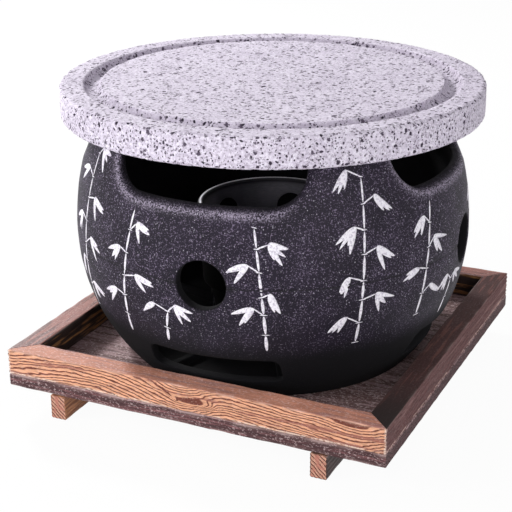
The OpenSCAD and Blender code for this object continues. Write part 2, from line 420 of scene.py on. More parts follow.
def smoothed(corners, step, width):
    # A polyline at even steps, its sharp corners eased over the given width
    length = np.concatenate([[0], np.cumsum(np.linalg.norm(np.diff(corners, axis=0), axis=1))])
    even = np.arange(0, length[-1], step)
    line = np.column_stack([np.interp(even, length, corners[:, k]) for k in (0, 1)])
    half = int(width / step)
    padded = np.concatenate([np.repeat(line[:1], half, axis=0), line, np.repeat(line[-1:], half, axis=0)])
    kernel = np.ones(2 * half + 1) / (2 * half + 1)
    return np.column_stack([np.convolve(padded[:, k], kernel, mode="valid") for k in (0, 1)])


def scatterPores(dice, sheet, taken):
    # Pore centres, sizes, tilts and stretches for one zone of a sheet, clear of the pores already taken
    found = []
    cellSize = 4  # millimetres, above the widest distance that two pores keep
    for count, (small, large) in zip(sheet["counts"], slab["poreSizes"]):
        tries = made = 0
        while made < count and tries < 30 * count:
            tries += 1
            rho = math.sqrt(dice.uniform(sheet["from"] ** 2, sheet["to"] ** 2))
            angle = dice.uniform(0, 2 * math.pi)
            size = small + (large - small) * dice.uniform() ** 2
            centre = np.array([rho * math.cos(angle), rho * math.sin(angle)])
            column, row = int(centre[0] // cellSize), int(centre[1] // cellSize)
            near = [pore for i in (-1, 0, 1) for j in (-1, 0, 1)
                    for pore in taken.get((column + i, row + j), ())]
            if all(np.hypot(*(centre - pore[0])) > 0.75 * (size + pore[1]) for pore in near):
                pore = (centre, size, dice.uniform(0, math.pi), dice.uniform(1.0, 1.9))
                taken.setdefault((column, row), []).append(pore)
                found.append(pore)
                made += 1
    return found


def poredSheet(dice, points, pores, boundary):
    # Flat triangles over the points with a pit's rings in place of the points under each pore
    drop = np.zeros(len(points), dtype=bool)
    rings, depths = [], []
    for centre, size, tilt, stretch in pores:
        sides = 10 if size > 1.1 else 7
        angles = np.arange(sides) * 2 * np.pi / sides + dice.uniform(0, 1)
        reach = size / 2 * (1 + 0.22 * dice.uniform(-1, 1, sides))
        flat = np.column_stack([reach * np.cos(angles) * stretch, reach * np.sin(angles)])
        turn = np.array([[math.cos(tilt), -math.sin(tilt)], [math.sin(tilt), math.cos(tilt)]])
        outline = flat @ turn.T
        deep = size * dice.uniform(0.45, 0.75)
        rings.append(np.concatenate([centre + outline, centre + outline * 0.76, [centre]]))
        depths.append(np.concatenate([np.zeros(sides), np.full(sides, deep * 0.75), [deep]]))
        clear = size / 2 * stretch + 0.35
        drop |= np.hypot(points[:, 0] - centre[0], points[:, 1] - centre[1]) < clear
    drop[:boundary] = False
    kept = points[~drop]
    allPoints = np.concatenate([kept, *rings])
    depth = np.concatenate([np.zeros(len(kept)), *depths])
    _, _, faces, origin, *_ = delaunay_2d_cdt([Vector(p) for p in allPoints], [], [], 0, 1e-6)
    first = np.array([o[0] if o else 0 for o in origin])
    return allPoints[first], np.array(faces), depth[first]


def ringPoints(rho, step, stagger):
    count = int(2 * math.pi * rho / step)
    angles = (np.arange(count) + 0.5 * stagger) * 2 * np.pi / count
    return np.column_stack([rho * np.cos(angles), rho * np.sin(angles)])


def hexPoints(limit, step):
    # Staggered points over a round plate
    flat = lattice(-limit, limit, -limit, limit, step)
    return flat[np.hypot(flat[:, 0], flat[:, 1]) < limit]


def buildSlab():
    dice = np.random.default_rng(slab["seed"])
    profile = slabProfile()
    along = np.concatenate([[0], np.cumsum(np.linalg.norm(np.diff(profile, axis=0), axis=1))])
    end = along[-1]
    plateau = slab["radius"] - slab["rimWidth"] - slab["grooveWidth"] - 2.4
    sideStart = along[np.argmax(profile[:, 0] > slab["radius"] - 0.3)]
    seam = ringPoints(end, slab["aroundStep"] * 1.1, 0)
    rings = [seam]
    for k, rho in enumerate(np.arange(plateau, end - 0.4, slab["ringStep"])):
        rings.append(ringPoints(rho, slab["aroundStep"], k % 2))
    base = np.concatenate(rings + [hexPoints(plateau - 0.7, slab["plateauStep"])])
    taken, pores = {}, []
    for zone, start, stop in (
            ("lowChips", end - 4.2, end - 2.4), ("topChips", sideStart - 1.8, sideStart + 0.4),
            ("groovePores", plateau + 2, plateau + 13), ("sidePores", sideStart, end - 2.5),
            ("topPores", 0, sideStart - 1.5)):
        pores += scatterPores(dice, {"counts": slab[zone], "from": start, "to": stop}, taken)
    flat, faces, depth = poredSheet(dice, base, pores, len(seam))
    topPoints, topPit, wall = slabSurface(flat, depth, profile, along)
    underRadius = profile[-1, 0]
    seamAngles = np.arctan2(seam[:, 1], seam[:, 0])
    underSeam = underRadius * np.column_stack([np.cos(seamAngles), np.sin(seamAngles)])
    underBase = np.concatenate([underSeam, hexPoints(underRadius - 1.6, slab["underStep"])])
    under = {"counts": slab["underPores"], "from": 0, "to": underRadius - 3}
    lower, lowerFaces, lowerDepth = poredSheet(dice, underBase, scatterPores(dice, under, {}), len(underSeam))
    points = np.concatenate([topPoints, np.column_stack([lower, slab["base"] + lowerDepth])])
    triangles = np.concatenate([faces, lowerFaces[:, ::-1] + len(topPoints)])
    plain = np.zeros(len(lower))
    marks = {
        "pit": np.concatenate([topPit, np.clip(lowerDepth / 0.4, 0, 1)]),
        "sawnTop": np.concatenate([np.hypot(flat[:, 0], flat[:, 1]) < sideStart, plain]),
        "grooveGrimeAndShade": np.concatenate([wall, plain]),
    }
    return addPiece("pored_stone_slab", points, triangles.tolist(), stoneFinish, marks, crease=50)


def slabSurface(flat, depth, profile, along):
    # Lays the polar sheet over the slab's outline and sinks the pits along the surface's normal
    rho = np.hypot(flat[:, 0], flat[:, 1])
    angle = np.arctan2(flat[:, 1], flat[:, 0])

    def outlineAt(place):
        return [np.interp(place, along, profile[:, k]) for k in (0, 1)]

    radius, height = outlineAt(rho)
    (runAfter, riseAfter), (runBefore, riseBefore) = outlineAt(rho + 0.2), outlineAt(rho - 0.2)
    rise, run = riseAfter - riseBefore, runAfter - runBefore
    steep = np.hypot(rise, run)
    normalOut, normalUp = -rise / steep, run / steep
    placed = np.column_stack([radius * np.cos(angle), radius * np.sin(angle), height])
    rough = 0.5 + 0.5 * waviness(placed, 9, 3) + 0.35 * waviness(placed, 3.5, 4)
    inwards = depth + slab["unevenness"] * np.clip(rough, 0, 2) * np.clip((along[-1] - rho) / 3, 0, 1)
    corner = np.minimum(np.abs(normalOut), np.abs(normalUp)) * 2 * (radius > slab["radius"] - 3)
    crumbled = np.clip(0.2 + 0.6 * waviness(placed, 4.5, 5) + 0.5 * waviness(placed, 2.4, 6), 0, 1.4)
    inwards = inwards + slab["crumble"] * corner * crumbled * np.clip((along[-1] - rho - 1) / 2, 0, 1)
    radius = radius - normalOut * inwards
    height = height - normalUp * inwards
    # Steep walls of the groove, whose colour is darkened as grime and painted shade
    wall = np.clip((-normalOut - 0.30) / 0.35, 0, 1) + 0.7 * np.clip((normalOut - 0.4) / 0.3, 0, 1)
    wall = wall * (radius < slab["radius"] - 3)
    surface = np.column_stack([radius * np.cos(angle), radius * np.sin(angle), slab["base"] + height])
    return surface, np.clip(depth / 0.4, 0, 1), wall


stone = {
    "body": ((0.63, 0.565, 0.69), (0.72, 0.655, 0.78)), "sand": (0.86, 0.81, 0.92),
    # groove darkens the groove walls as grime and painted shade
    "dust": (0.33, 0.28, 0.36), "groove": (0.22, 0.185, 0.24), "grain": (0.075, 0.055, 0.09),
    # pit is painted shade in the pits, darker with their depth
    "pit": ((0.08, 0.06, 0.095), (0.035, 0.025, 0.045)),  # on the side and on the sawn top
    # Dark grains: cell, grain size in cells, share of cells on the sawn top and on the side, darkness
    "grains": ((3.2, 0.30, 0.50, 0.10, 0.98), (1.9, 0.37, 0.50, 0.26, 0.95), (1.1, 0.38, 0.34, 0.50, 0.70)),
}


def makeStone():
    material, tree, surface = newMaterial("poredStone", 0.92)
    points = objectPoints(tree)
    ragged = strayed(tree, points, 0.9, 0.6)
    pit, sawn, wall = (attribute(tree, name) for name in ("pit", "sawnTop", "grooveGrimeAndShade"))
    cloud = noise(tree, points, 18, 3.0)
    sand = noise(tree, points, 1.5, 3.0, 0.75)
    body = mixColours(tree, ease(tree, cloud, 0.3, 0.7), *stone["body"])
    body = mixColours(tree, ease(tree, sand, 0.50, 0.64), body, stone["sand"])
    dusty = times(tree, ease(tree, sand, 0.34, 0.47, 1.0, 0.0), mixValues(tree, sawn, 0.75, 0.25))
    body = mixColours(tree, dusty, body, stone["dust"])
    grains = 0.0
    for cell, size, topShare, sideShare, dark in stone["grains"]:
        share = mixValues(tree, sawn, sideShare, topShare)
        marks = placeGroup(
            tree, speckle, {"Points": ragged, "Scale": perMetre(cell), "Size": size, "Share": share})
        grains = reckon(tree, "MAXIMUM", grains, times(tree, marks["Mask"], dark))
    # Groove walls darkened as grime and painted shade
    body = mixColours(tree, times(tree, wall, 0.38), body, stone["groove"])
    body = mixColours(tree, grains, body, stone["grain"])
    # Pits darkened with their depth: painted shade
    body = mixColours(tree, ease(tree, pit, 0.05, 0.50), body, mixColours(tree, sawn, *stone["pit"]))
    tree.links.new(body, surface.inputs["Base Color"])
    addBump(tree, surface, reckon(tree, "SUBTRACT", times(tree, sand, 0.6), grains), 0.30, 0.8)
    return material


stoneFinish = makeStone()
stoneSlab = buildSlab()
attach(stoneSlab, "slab")
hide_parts("stone_slab")
print("slab done")


# Cast bowl: the wall is one sheet a quarter, cut by notch, vent and slot, with every cut edge rounded

bowlLow, bowlHigh = frameBox("stove_bowl")
bowl = {
    "base": bowlLow[2], "height": bowlHigh[2] - bowlLow[2], "radius": 104.7, "wall": 6.0, "turn": 5.2,
    "bellyHeight": 68.5, "upperHalf": 121.5, "lowerHalf": 102.5,
    "notchWidth": 94.5, "notchMiddle": -2.75, "notchDepth": 22.5, "notchCorner": 14.0,
    "notchRounds": (4.6, 1.0),
    "ventWidth": 25.0, "ventRounds": (1.0, 1.0), "slotWidth": 68.0, "slotHeight": 14.4, "slotSill": 13.3,
    "slotCorner": 4.0, "slotRounds": (0.9, 0.9), "rimRounds": (1.4, 1.4), "wallFoot": 9.0,
    "floorTop": 6.0, "footRing": 2.0, "footWidth": 10.0, "step": 2.2, "seamDepth": 0.32, "unevenness": 0.12,
}
edgeOffsets = (0.07, 0.25, 0.65, 1.3, 2.1, 3.1, 4.4)  # rings of points beside every cut, for its rounded edge
seamRows = (-0.85, -0.3, 0, 0.3, 0.85)  # rows of points over the crease where the mould's two halves met


def bowlRadius(height):
    half = np.where(height > bowl["bellyHeight"], bowl["upperHalf"], bowl["lowerHalf"])
    return bowl["radius"] * np.sqrt(1 - ((height - bowl["bellyHeight"]) / half) ** 2)


def roundedBox(x, height, halfWide, halfHigh, middle, centre, corner):
    # Distance from a rounded box's outline, positive outside it
    qx = np.abs(x - middle) - halfWide + corner
    qy = np.abs(height - centre) - halfHigh + corner
    return np.hypot(np.maximum(qx, 0), np.maximum(qy, 0)) + np.minimum(np.maximum(qx, qy), 0) - corner


def bowlCuts():
    # The cuts of one quarter as rounded boxes seen from its front: half sizes, middle, centre height, corner
    notchFloor = bowl["height"] - bowl["notchDepth"]
    tall = 2 * bowl["notchDepth"]
    vent, slotHigh = bowl["ventWidth"] / 2, bowl["slotHeight"] / 2
    return {
        "notch": (bowl["notchWidth"] / 2, tall, bowl["notchMiddle"], notchFloor + tall, bowl["notchCorner"]),
        "vent": (vent, vent, 0.0, bowl["bellyHeight"], vent),
        "slot": (bowl["slotWidth"] / 2, slotHigh, 0.0, bowl["slotSill"] + slotHigh, bowl["slotCorner"]),
    }


def cutDistances(flat):
    # Distance of each sheet point from every cut and from the rim
    x = bowlRadius(flat[:, 1]) * np.sin(flat[:, 0] / bowl["radius"])
    distances = {name: roundedBox(x, flat[:, 1], *cut) for name, cut in bowlCuts().items()}
    distances["rim"] = bowl["height"] - flat[:, 1]
    return distances


def cutOutline(cut, offset, step):
    # Points round a cut, seen from the front, at the given distance outside it
    halfWide, halfHigh, middle, centre, corner = cut
    reach = corner + offset
    line = []
    left, right = middle - halfWide + corner, middle + halfWide - corner
    low, high = centre - halfHigh + corner, centre + halfHigh - corner
    for x, height, quarter in ((right, high, 0), (left, high, 1), (left, low, 2), (right, low, 3)):
        turns = max(4, int(reach * math.pi / 2 / step))
        for angle in np.linspace(0, math.pi / 2, turns + 1) + quarter * math.pi / 2:
            line.append((x + reach * math.cos(angle), height + reach * math.sin(angle)))
    return spacedLoop(np.array(line), step)


def spacedLoop(line, step):
    # A closed outline with its long straight stretches divided
    result = []
    for here, after in zip(line, np.roll(line, -1, axis=0)):
        length = np.hypot(*(after - here))
        if length < 1e-6:
            continue
        parts = max(1, int(round(length / step)))
        result += [here + (after - here) * k / parts for k in range(parts)]
    return np.array(result)


def toSheet(outline):
    # From the view from the front to the unrolled sheet
    across = bowl["radius"] * np.arcsin(np.clip(outline[:, 0] / bowlRadius(outline[:, 1]), -1, 1))
    return np.column_stack([across, outline[:, 1]])


def wallOutlines():
    # The quarter's outer loop, round the notch and down to the foot, and the loops of its vent and slot
    cuts = bowlCuts()
    side = bowl["radius"] * math.pi / 4
    top, foot = bowl["height"], bowl["wallFoot"]
    middle, half = bowl["notchMiddle"], bowl["notchWidth"] / 2
    notch = cutOutline(cuts["notch"], 0, 1.6)
    notch = notch[notch[:, 1] < top - 0.05]
    rightToLeft = np.argsort(-np.arctan2(notch[:, 0] - middle, top + 30 - notch[:, 1]))
    notchLine = toSheet(np.concatenate([[(middle + half, top)], notch[rightToLeft], [(middle - half, top)]]))
    sideHeights = sideRows()
    bottom = np.linspace(-side, side, int(2 * side / 1.9) + 1)
    outer = [(x, foot) for x in bottom[:-1]]
    outer += [(side, height) for height in sideHeights[:-1]]
    outer += [(x, top) for x in np.linspace(side, notchLine[0, 0], 10)[:-1]]
    outer += notchLine.tolist()
    outer += [(x, top) for x in np.linspace(notchLine[-1, 0], -side, 9)[1:]]
    outer += [(-side, height) for height in sideHeights[-2:0:-1]]
    vent, slot = (toSheet(cutOutline(cuts[name], 0, step)) for name, step in (("vent", 1.3), ("slot", 1.5)))
    return np.array(outer), vent, slot


def sideRows():
    # Heights of the points down a quarter's side, close together at the seam and the rim
    top, foot, belly = bowl["height"], bowl["wallFoot"], bowl["bellyHeight"]
    below, above = np.linspace(foot, belly - 2.0, 28), np.linspace(belly + 2.0, top - 6.0, 26)
    seam, rim = [belly + rise for rise in seamRows], [top - drop for drop in (0, *edgeOffsets)]
    return sorted({round(float(height), 4) for height in (*below, *above, *seam, *rim)})


def wallSheet():
    # Flat points and triangles of one quarter of the wall
    side, top, foot, step = bowl["radius"] * math.pi / 4, bowl["height"], bowl["wallFoot"], bowl["step"]
    belly = bowl["bellyHeight"]
    inner = []  # points with the least distance from a cut at which they are kept
    for offset in edgeOffsets:
        for cut in bowlCuts().values():
            ring = cutOutline(cut, offset, 1.5 + 0.2 * offset)
            inner.append((toSheet(ring[ring[:, 1] < top - 0.1]), offset - 0.05))
        across = np.arange(-side + 1.0, side - 0.5, 1.6)
        inner.append((np.column_stack([across, np.full(len(across), top - offset)]), offset - 0.05))
    seam = np.arange(-side + step / 2, side, step / 1.3)
    for rise in seamRows:
        inner.append((np.column_stack([seam, np.full(len(seam), belly + rise)]), edgeOffsets[-1] + 0.8))
    hexes = lattice(-side + step * 0.6, side - step * 0.5, foot + step * 0.8, top, step)
    hexes = hexes[np.abs(hexes[:, 1] - belly) > 1.95]
    inner.append((hexes, edgeOffsets[-1] + step * 0.45))
    kept = []
    for points, least in inner:
        nearest = np.min(list(cutDistances(points).values()), axis=0)
        clear = (nearest > least) & (np.abs(points[:, 0]) < side - 0.7) & (points[:, 1] > foot + 0.9)
        kept.append(points[clear])
    return triangulate(wallOutlines(), kept)


def bowlPoint(across, height, radius):
    # Sheet position at a given radius. Cuts stay parallel to the quarter's front, as the mould's slides
    # left them
    angle = across / bowl["radius"]
    x = bowlRadius(height) * np.sin(angle)
    shift = np.arcsin(np.clip(x / radius, -1, 1)) - angle
    angle = angle + shift * smoothStep(math.pi / 4 - np.abs(angle), 0, math.radians(9))
    return roundAxis(angle, radius, bowl["base"] + height)


def turned(points, degrees):
    angle = math.radians(degrees)
    x = points[:, 0] * math.cos(angle) - points[:, 1] * math.sin(angle)
    y = points[:, 0] * math.sin(angle) + points[:, 1] * math.cos(angle)
    return np.column_stack([x, y, points[:, 2]])


def outerDip(across, height):
    # How far the casting's outside lies below its true outline: the mould's crease, and a soft unevenness
    crease = bowl["seamDepth"] * np.clip(1 - np.abs(height - bowl["bellyHeight"]) / 0.45, 0, 1)
    spot = np.column_stack([across, height, np.zeros(len(across))])
    quiet = np.clip((bowl["radius"] * math.pi / 4 - np.abs(across)) / 8, 0, 1)
    quiet = quiet * np.clip((height - 12) / 6, 0, 1)
    return crease + bowl["unevenness"] * quiet * np.clip(0.5 + 0.5 * waviness(spot, 11, 71), 0, 2)


def bowlQuarter():
    # One quarter of the casting, with marks for its worn notch lips, which also carry a painted highlight,
    # for the black painted shade inside it and along its cut edges, and for its crease, darkened as painted
    # shade
    flat, faces = wallSheet()
    distances = cutDistances(flat)
    half = bowl["wall"] / 2
    side = bowl["radius"] * math.pi / 4

    def place(flat, offset):
        dip = outerDip(flat[:, 0], flat[:, 1]) * (offset > 1)
        return bowlPoint(flat[:, 0], flat[:, 1], bowlRadius(flat[:, 1]) - half + offset - dip)

    def isSeam(a, b):
        return min(abs(a[0]), abs(b[0])) > side - 1e-3 or max(a[1], b[1]) < bowl["wallFoot"] + 1e-3

    gaps = [(distance, *bowl[name + "Rounds"]) for name, distance in distances.items()]
    wall, faces = shellFromSheet(flat, faces, gaps, half, place, isSeam)
    # Black painted shade in the vent and slot tunnels and along the notch's lip; the inner faces are all
    # painted black as shade
    tunnel = 1 - np.clip((np.minimum(distances["vent"], distances["slot"]) - 0.3) / 0.5, 0, 1)
    lip = 0.9 * (1 - np.clip((distances["notch"] - 0.2) / 1.5, 0, 1))
    crease = np.clip(1 - np.abs(flat[:, 1] - bowl["bellyHeight"]) / 0.55, 0, 1)
    points = [wall]
    dust = [notchWearAndHighlight(flat, distances["notch"]), np.zeros(len(flat))]
    inside = [np.maximum(tunnel, lip), np.ones(len(flat))]
    footRow = np.sort(flat[flat[:, 1] < bowl["wallFoot"] + 1e-3, 0])
    total = len(wall)
    for rows, isInside in ((outerFoot(footRow), 0.0), (innerFloor(footRow), 1.0)):
        rowPoints, rowFaces = grid(rows)
        faces += [tuple(i + total for i in face) for face in rowFaces]
        points.append(rowPoints)
        dust.append(np.zeros(len(rowPoints)))
        inside.append(np.full(len(rowPoints), isInside))
        total += len(rowPoints)
    seam = np.zeros(total)
    seam[:len(wall)] = np.tile(crease, 2)
    return np.concatenate(points), faces, {
        "dust": np.concatenate(dust), "inside": np.concatenate(inside), "crease": seam}


def notchWearAndHighlight(flat, distance):
    # Pale worn band round a notch's lip, which is also a painted highlight, fading out towards its right end
    x = bowlRadius(flat[:, 1]) * np.sin(flat[:, 0] / bowl["radius"]) - bowl["notchMiddle"]
    onRight = np.clip((x - bowl["notchWidth"] / 2 + 10) / 10, 0, 1)
    band = np.exp(-((np.maximum(distance, 0) - 2.9) / 1.5) ** 2)
    return band * (1 - onRight)


def outerFoot(across):
    # Rows from the wall's foot round the foot ring to the middle of the recess
    heights = (bowl["wallFoot"], 6.8, 4.6, 2.6, 1.2, 0.5)
    rows = [bowlPoint(across, height, bowlRadius(height)) for height in heights]
    base = float(bowlRadius(0.0))
    inner, recess = base - bowl["footWidth"], bowl["footRing"]
    for radius, height in (
            (base - 0.35, 0.1), (base - 0.9, 0), (base - 5, 0),
            (inner + 0.9, 0), (inner + 0.2, 0.25), (inner, 0.9),
            (inner, recess), (inner - 12, recess), (inner / 2, recess), (inner / 5, recess), (0, recess)):
        rows.append(roundAxis(across / bowl["radius"], radius, bowl["base"] + height))
    return rows


def innerFloor(across):
    # Rows from the wall's foot over a fillet to the middle of the floor
    start = float(bowlRadius(bowl["wallFoot"])) - bowl["wall"]
    rows = [bowlPoint(across, bowl["wallFoot"], start)]
    top = bowl["floorTop"]
    for radius, height in (
            (start - 0.9, top + 1.7), (start - 2.1, top + 0.7), (start - 3.8, top + 0.12), (start - 6, top),
            (start * 0.7, top), (start * 0.4, top), (start * 0.15, top), (0, top)):
        rows.append(roundAxis(across / bowl["radius"], radius, bowl["base"] + height))
    return rows


def buildBowl():
    points, faces, marks = bowlQuarter()
    quarters = np.concatenate([turned(points, bowl["turn"] + 90 * k) for k in range(4)])
    return addPiece("cast_bowl", quarters, repeated(faces, len(points), 4), coatFinish,
                    {key: np.tile(values, 4) for key, values in marks.items()}, weld=0.01)


coat = {  # colours of the film between the grains, of the grains, of the painted glints on their tips, of the worn lips with their painted highlight, and of the black that paints shade
    "film": ((0.008, 0.005, 0.013), (0.015, 0.010, 0.023)), "grain": (0.205, 0.165, 0.245),
    "tip": (0.80, 0.76, 0.88), "worn": (0.46, 0.40, 0.52), "shadeBlack": (0.002, 0.0016, 0.003),
    "grainSizes": (0.82, 0.50), "level": (0.548, 0.612),
    "glints": {"Scale": perMetre(0.95), "Size": 0.25, "Share": 0.22},
    "darkens": (0.090, 0.040), "blackShadeLine": (0.062, 0.047),  # heights in metres, from the top down, over which painted shade darkens the lower bowl and over which it turns black
}


def makeCoat():
    material, tree, surface = newMaterial("granularCoat", 0.6)
    surface.inputs["Specular IOR Level"].default_value = 0.22
    points = objectPoints(tree)
    dust, inside, crease = (attribute(tree, name) for name in ("dust", "inside", "crease"))
    height = addNode(tree, "ShaderNodeSeparateXYZ", {"Vector": points}).outputs["Z"]
    # Masks of painted shade: darker towards the bottom, which also thins the grains and dims the glints, and
    # black below the lower line
    low, darkened = (ease(tree, height, end, start, 1.0, 0.0)
                  for start, end in (coat["darkens"], coat["blackShadeLine"]))
    clump = noise(tree, points, 13, 3.0)
    coarse, fine = (noise(tree, points, size, 1.5, 0.6) for size in coat["grainSizes"])
    grit = plus(tree, times(tree, coarse, 0.55), times(tree, fine, 0.45))
    grit = plus(tree, grit, times(tree, reckon(tree, "SUBTRACT", clump, 0.5), 0.10))
    grit = reckon(tree, "SUBTRACT", grit, times(tree, low, 0.035))
    grains = ease(tree, grit, *coat["level"])
    glints = placeGroup(tree, speckle, {"Points": points, **coat["glints"]})
    base = mixColours(tree, ease(tree, clump, 0.3, 0.7), *coat["film"])
    base = mixColours(tree, grains, base, coat["grain"])
    # Worn band round the notch lips, which is also a painted highlight
    worn = times(tree, dust, ease(tree, grit, 0.44, 0.56))
    base = mixColours(tree, times(tree, worn, 0.85), base, coat["worn"])
    # Painted glints on the grain tips, dimmer towards the bottom as painted shade
    shine = times(tree, glints["Mask"], reckon(tree, "SUBTRACT", 0.7, times(tree, low, 0.5)))
    base = mixColours(tree, shine, base, coat["tip"])
    # Painted shade: darker towards the bottom, black below the line, dark in the mould's crease, and black
    # inside the bowl, in its tunnels and along the notch's lip
    for mask, share in ((low, 0.35), (darkened, 0.97), (crease, 0.8), (inside, 1.0)):
        base = mixColours(tree, times(tree, mask, share), base, coat["shadeBlack"])
    tree.links.new(base, surface.inputs["Base Color"])
    dull = mixValues(tree, reckon(tree, "MAXIMUM", darkened, inside), 0.6, 0.95)
    tree.links.new(dull, surface.inputs["Roughness"])
    addBump(tree, surface, plus(tree, grains, times(tree, glints["Mask"], 0.6)), 0.20, 0.8)
    return material


coatFinish = makeCoat()
castBowl = buildBowl()
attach(castBowl, "bowl")
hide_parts("stove_bowl")
print("bowl done")


# Ribs on the bowl's floor, which carry and centre the cup

cupLow, cupHigh = frameBox("charcoal_cup")
ribs = {"count": 8, "width": 4.0, "start": 22.0, "end": 79.5, "nibStart": 34.6, "nibLength": 6.0,
        "nibRise": 2.0, "rise": cupLow[2] - bowl["base"] - bowl["floorTop"], "round": 0.7}


def ribTree():
    # One rib: a rounded bar and its nib, set round the axis as often as the count says
    sizes = ("Width", "Inner", "Outer", "Rise", "NibInner", "NibOuter", "NibRise", "Turn")
    group, given, result = newTree("castRibs", {"Count": "Int", **dict.fromkeys(sizes, "Float")})
    bars = addNode(group, "GeometryNodeJoinGeometry")
    for inner, outer, rise in (("Inner", "Outer", "Rise"), ("NibInner", "NibOuter", "NibRise")):
        start, stop = (fromNode(group, "ShaderNodeCombineXYZ", {"X": given[end]}) for end in (inner, outer))
        spine = fromNode(group, "GeometryNodeCurvePrimitiveLine", {"Start": start, "End": stop})
        high = times(group, given[rise], 2.0)
        section = fromNode(
            group, "GeometryNodeCurvePrimitiveQuadrilateral", {"Width": given["Width"], "Height": high})
        eased = fromNode(group, "GeometryNodeFilletCurve",
                         {"Curve": section, "Radius": ribs["round"] * mm, "Count": 3}, mode="POLY")
        bar = fromNode(
            group, "GeometryNodeCurveToMesh", {"Curve": spine, "Profile Curve": eased, "Fill Caps": True})
        group.links.new(bar, bars.inputs["Geometry"])
    places = fromNode(group, "GeometryNodePoints", {"Count": given["Count"]})
    order = fromNode(group, "GeometryNodeInputIndex")
    step = reckon(group, "DIVIDE", 2 * math.pi, given["Count"])
    angle = plus(group, times(group, plus(group, order, 0.5), step), given["Turn"])
    turn = fromNode(group, "ShaderNodeCombineXYZ", {"Z": angle})
    spread = fromNode(group, "GeometryNodeInstanceOnPoints",
                      {"Points": places, "Instance": bars.outputs["Geometry"], "Rotation": turn})
    finishTree(group, spread, coatFinish, result)
    return group


floorRibs = runTree("cast_floor_ribs", pointCloud("ribSeed", [(0, 0, 0)]), ribTree(), {
    "Count": ribs["count"], "Width": ribs["width"] * mm,
    "Inner": ribs["start"] * mm, "Outer": ribs["end"] * mm,
    "Rise": ribs["rise"] * mm, "NibInner": ribs["nibStart"] * mm,
    "NibOuter": (ribs["nibStart"] + ribs["nibLength"]) * mm, "NibRise": (ribs["rise"] + ribs["nibRise"]) * mm,
    "Turn": math.radians(bowl["turn"])})
floorRibs.data.transform(Matrix.Translation((0, 0, (bowl["base"] + bowl["floorTop"]) * mm)))
# The ribs take the bowl's black painted shade
for key, value in (("dust", 0.0), ("inside", 1.0), ("crease", 0.0)):
    layer = floorRibs.data.attributes.new(key, "FLOAT", "POINT")
    layer.data.foreach_set("value", np.full(len(floorRibs.data.vertices), value, dtype=np.float32))
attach(floorRibs, "bowl")
print("ribs done")


# Painted bamboo: a geometry tree lays the strokes on the flat, then they are wrapped round the casting

bamboo = {
    "paint": 0.14, "rings": 9, "sides": 8, "seed": 5, "colours": ((0.62, 0.57, 0.68), (0.94, 0.91, 0.98)),
    # Culms of one quarter: foot along the wall, height of foot and tip, lean, joints, leaf clusters
    "culms": ((-49, 31, 101, 9, 6, 5), (32, 33, 99, -5, 6, 5),
              (78, 24, 118, 5, 8, 7), (-22, 33, 52, 3, 2, 2)),
    "culmWidth": 1.6, "twigWidth": 0.8, "leafLength": (8.5, 13.5), "leafWidth": (2.1, 3.0),
}


def sprigStrokes(quarter):
    # Leaves and culm strokes of one quarter as rows of x, y, angle, length and width
    dice = np.random.default_rng(bamboo["seed"] + quarter)
    leaves, culms = [], []
    for foot, low, high, lean, joints, clusters in bamboo["culms"]:
        lean = lean * dice.uniform(0.7, 1.2)
        heights = np.linspace(low, high, joints + 1) + dice.uniform(-1.2, 1.2, joints + 1)
        across = foot + lean * ((heights - low) / (high - low)) ** 1.4
        for k in range(joints):
            start = np.array([across[k], heights[k] + 0.5])
            stop = np.array([across[k + 1], heights[k + 1] - 0.5])
            width = bamboo["culmWidth"] * (1.15 - 0.5 * k / joints)
            culms.append(strokeBetween(start, stop, width))
            culms.append((across[k + 1], heights[k + 1], dice.uniform(-0.2, 0.2), width * 2.3, 0.55))
        for k in range(clusters):
            joint = joints - k * (joints - 1) // clusters
            side = 1 if (k + quarter) % 2 else -1
            stem = np.array([across[joint], heights[joint]])
            reach = dice.uniform(3.5, 8)
            tip = stem + np.array([side * reach, dice.uniform(1.5, 4.5)])
            culms.append(strokeBetween(stem, tip, bamboo["twigWidth"]))
            for spread in dice.uniform(-80, -5, dice.integers(3, 5)):
                length = dice.uniform(*bamboo["leafLength"]) * (0.75 + 0.25 * high / 118)
                angle = math.radians(spread if side > 0 else 180 - spread)
                middle = tip + 0.47 * length * np.array([math.cos(angle), math.sin(angle)])
                leaves.append((*middle, angle, length, dice.uniform(*bamboo["leafWidth"])))
    return [[stroke for stroke in strokes if clearOfCuts(stroke)] for strokes in (leaves, culms)]


def strokeBetween(start, stop, width):
    middle, way = (start + stop) / 2, stop - start
    return (*middle, math.atan2(way[1], way[0]), float(np.hypot(*way)), width)


def clearOfCuts(stroke):
    x, y, angle, length, _ = stroke
    way = np.array([math.cos(angle), math.sin(angle)])
    reach = np.array([(x, y) + share * length * way for share in (-0.5, 0, 0.5)])
    distances = cutDistances(reach)
    nearest = np.min(list(distances.values()))
    return bool(nearest > 2.2 and reach[:, 1].min() > 17 and distances["notch"].min() > 6.5)


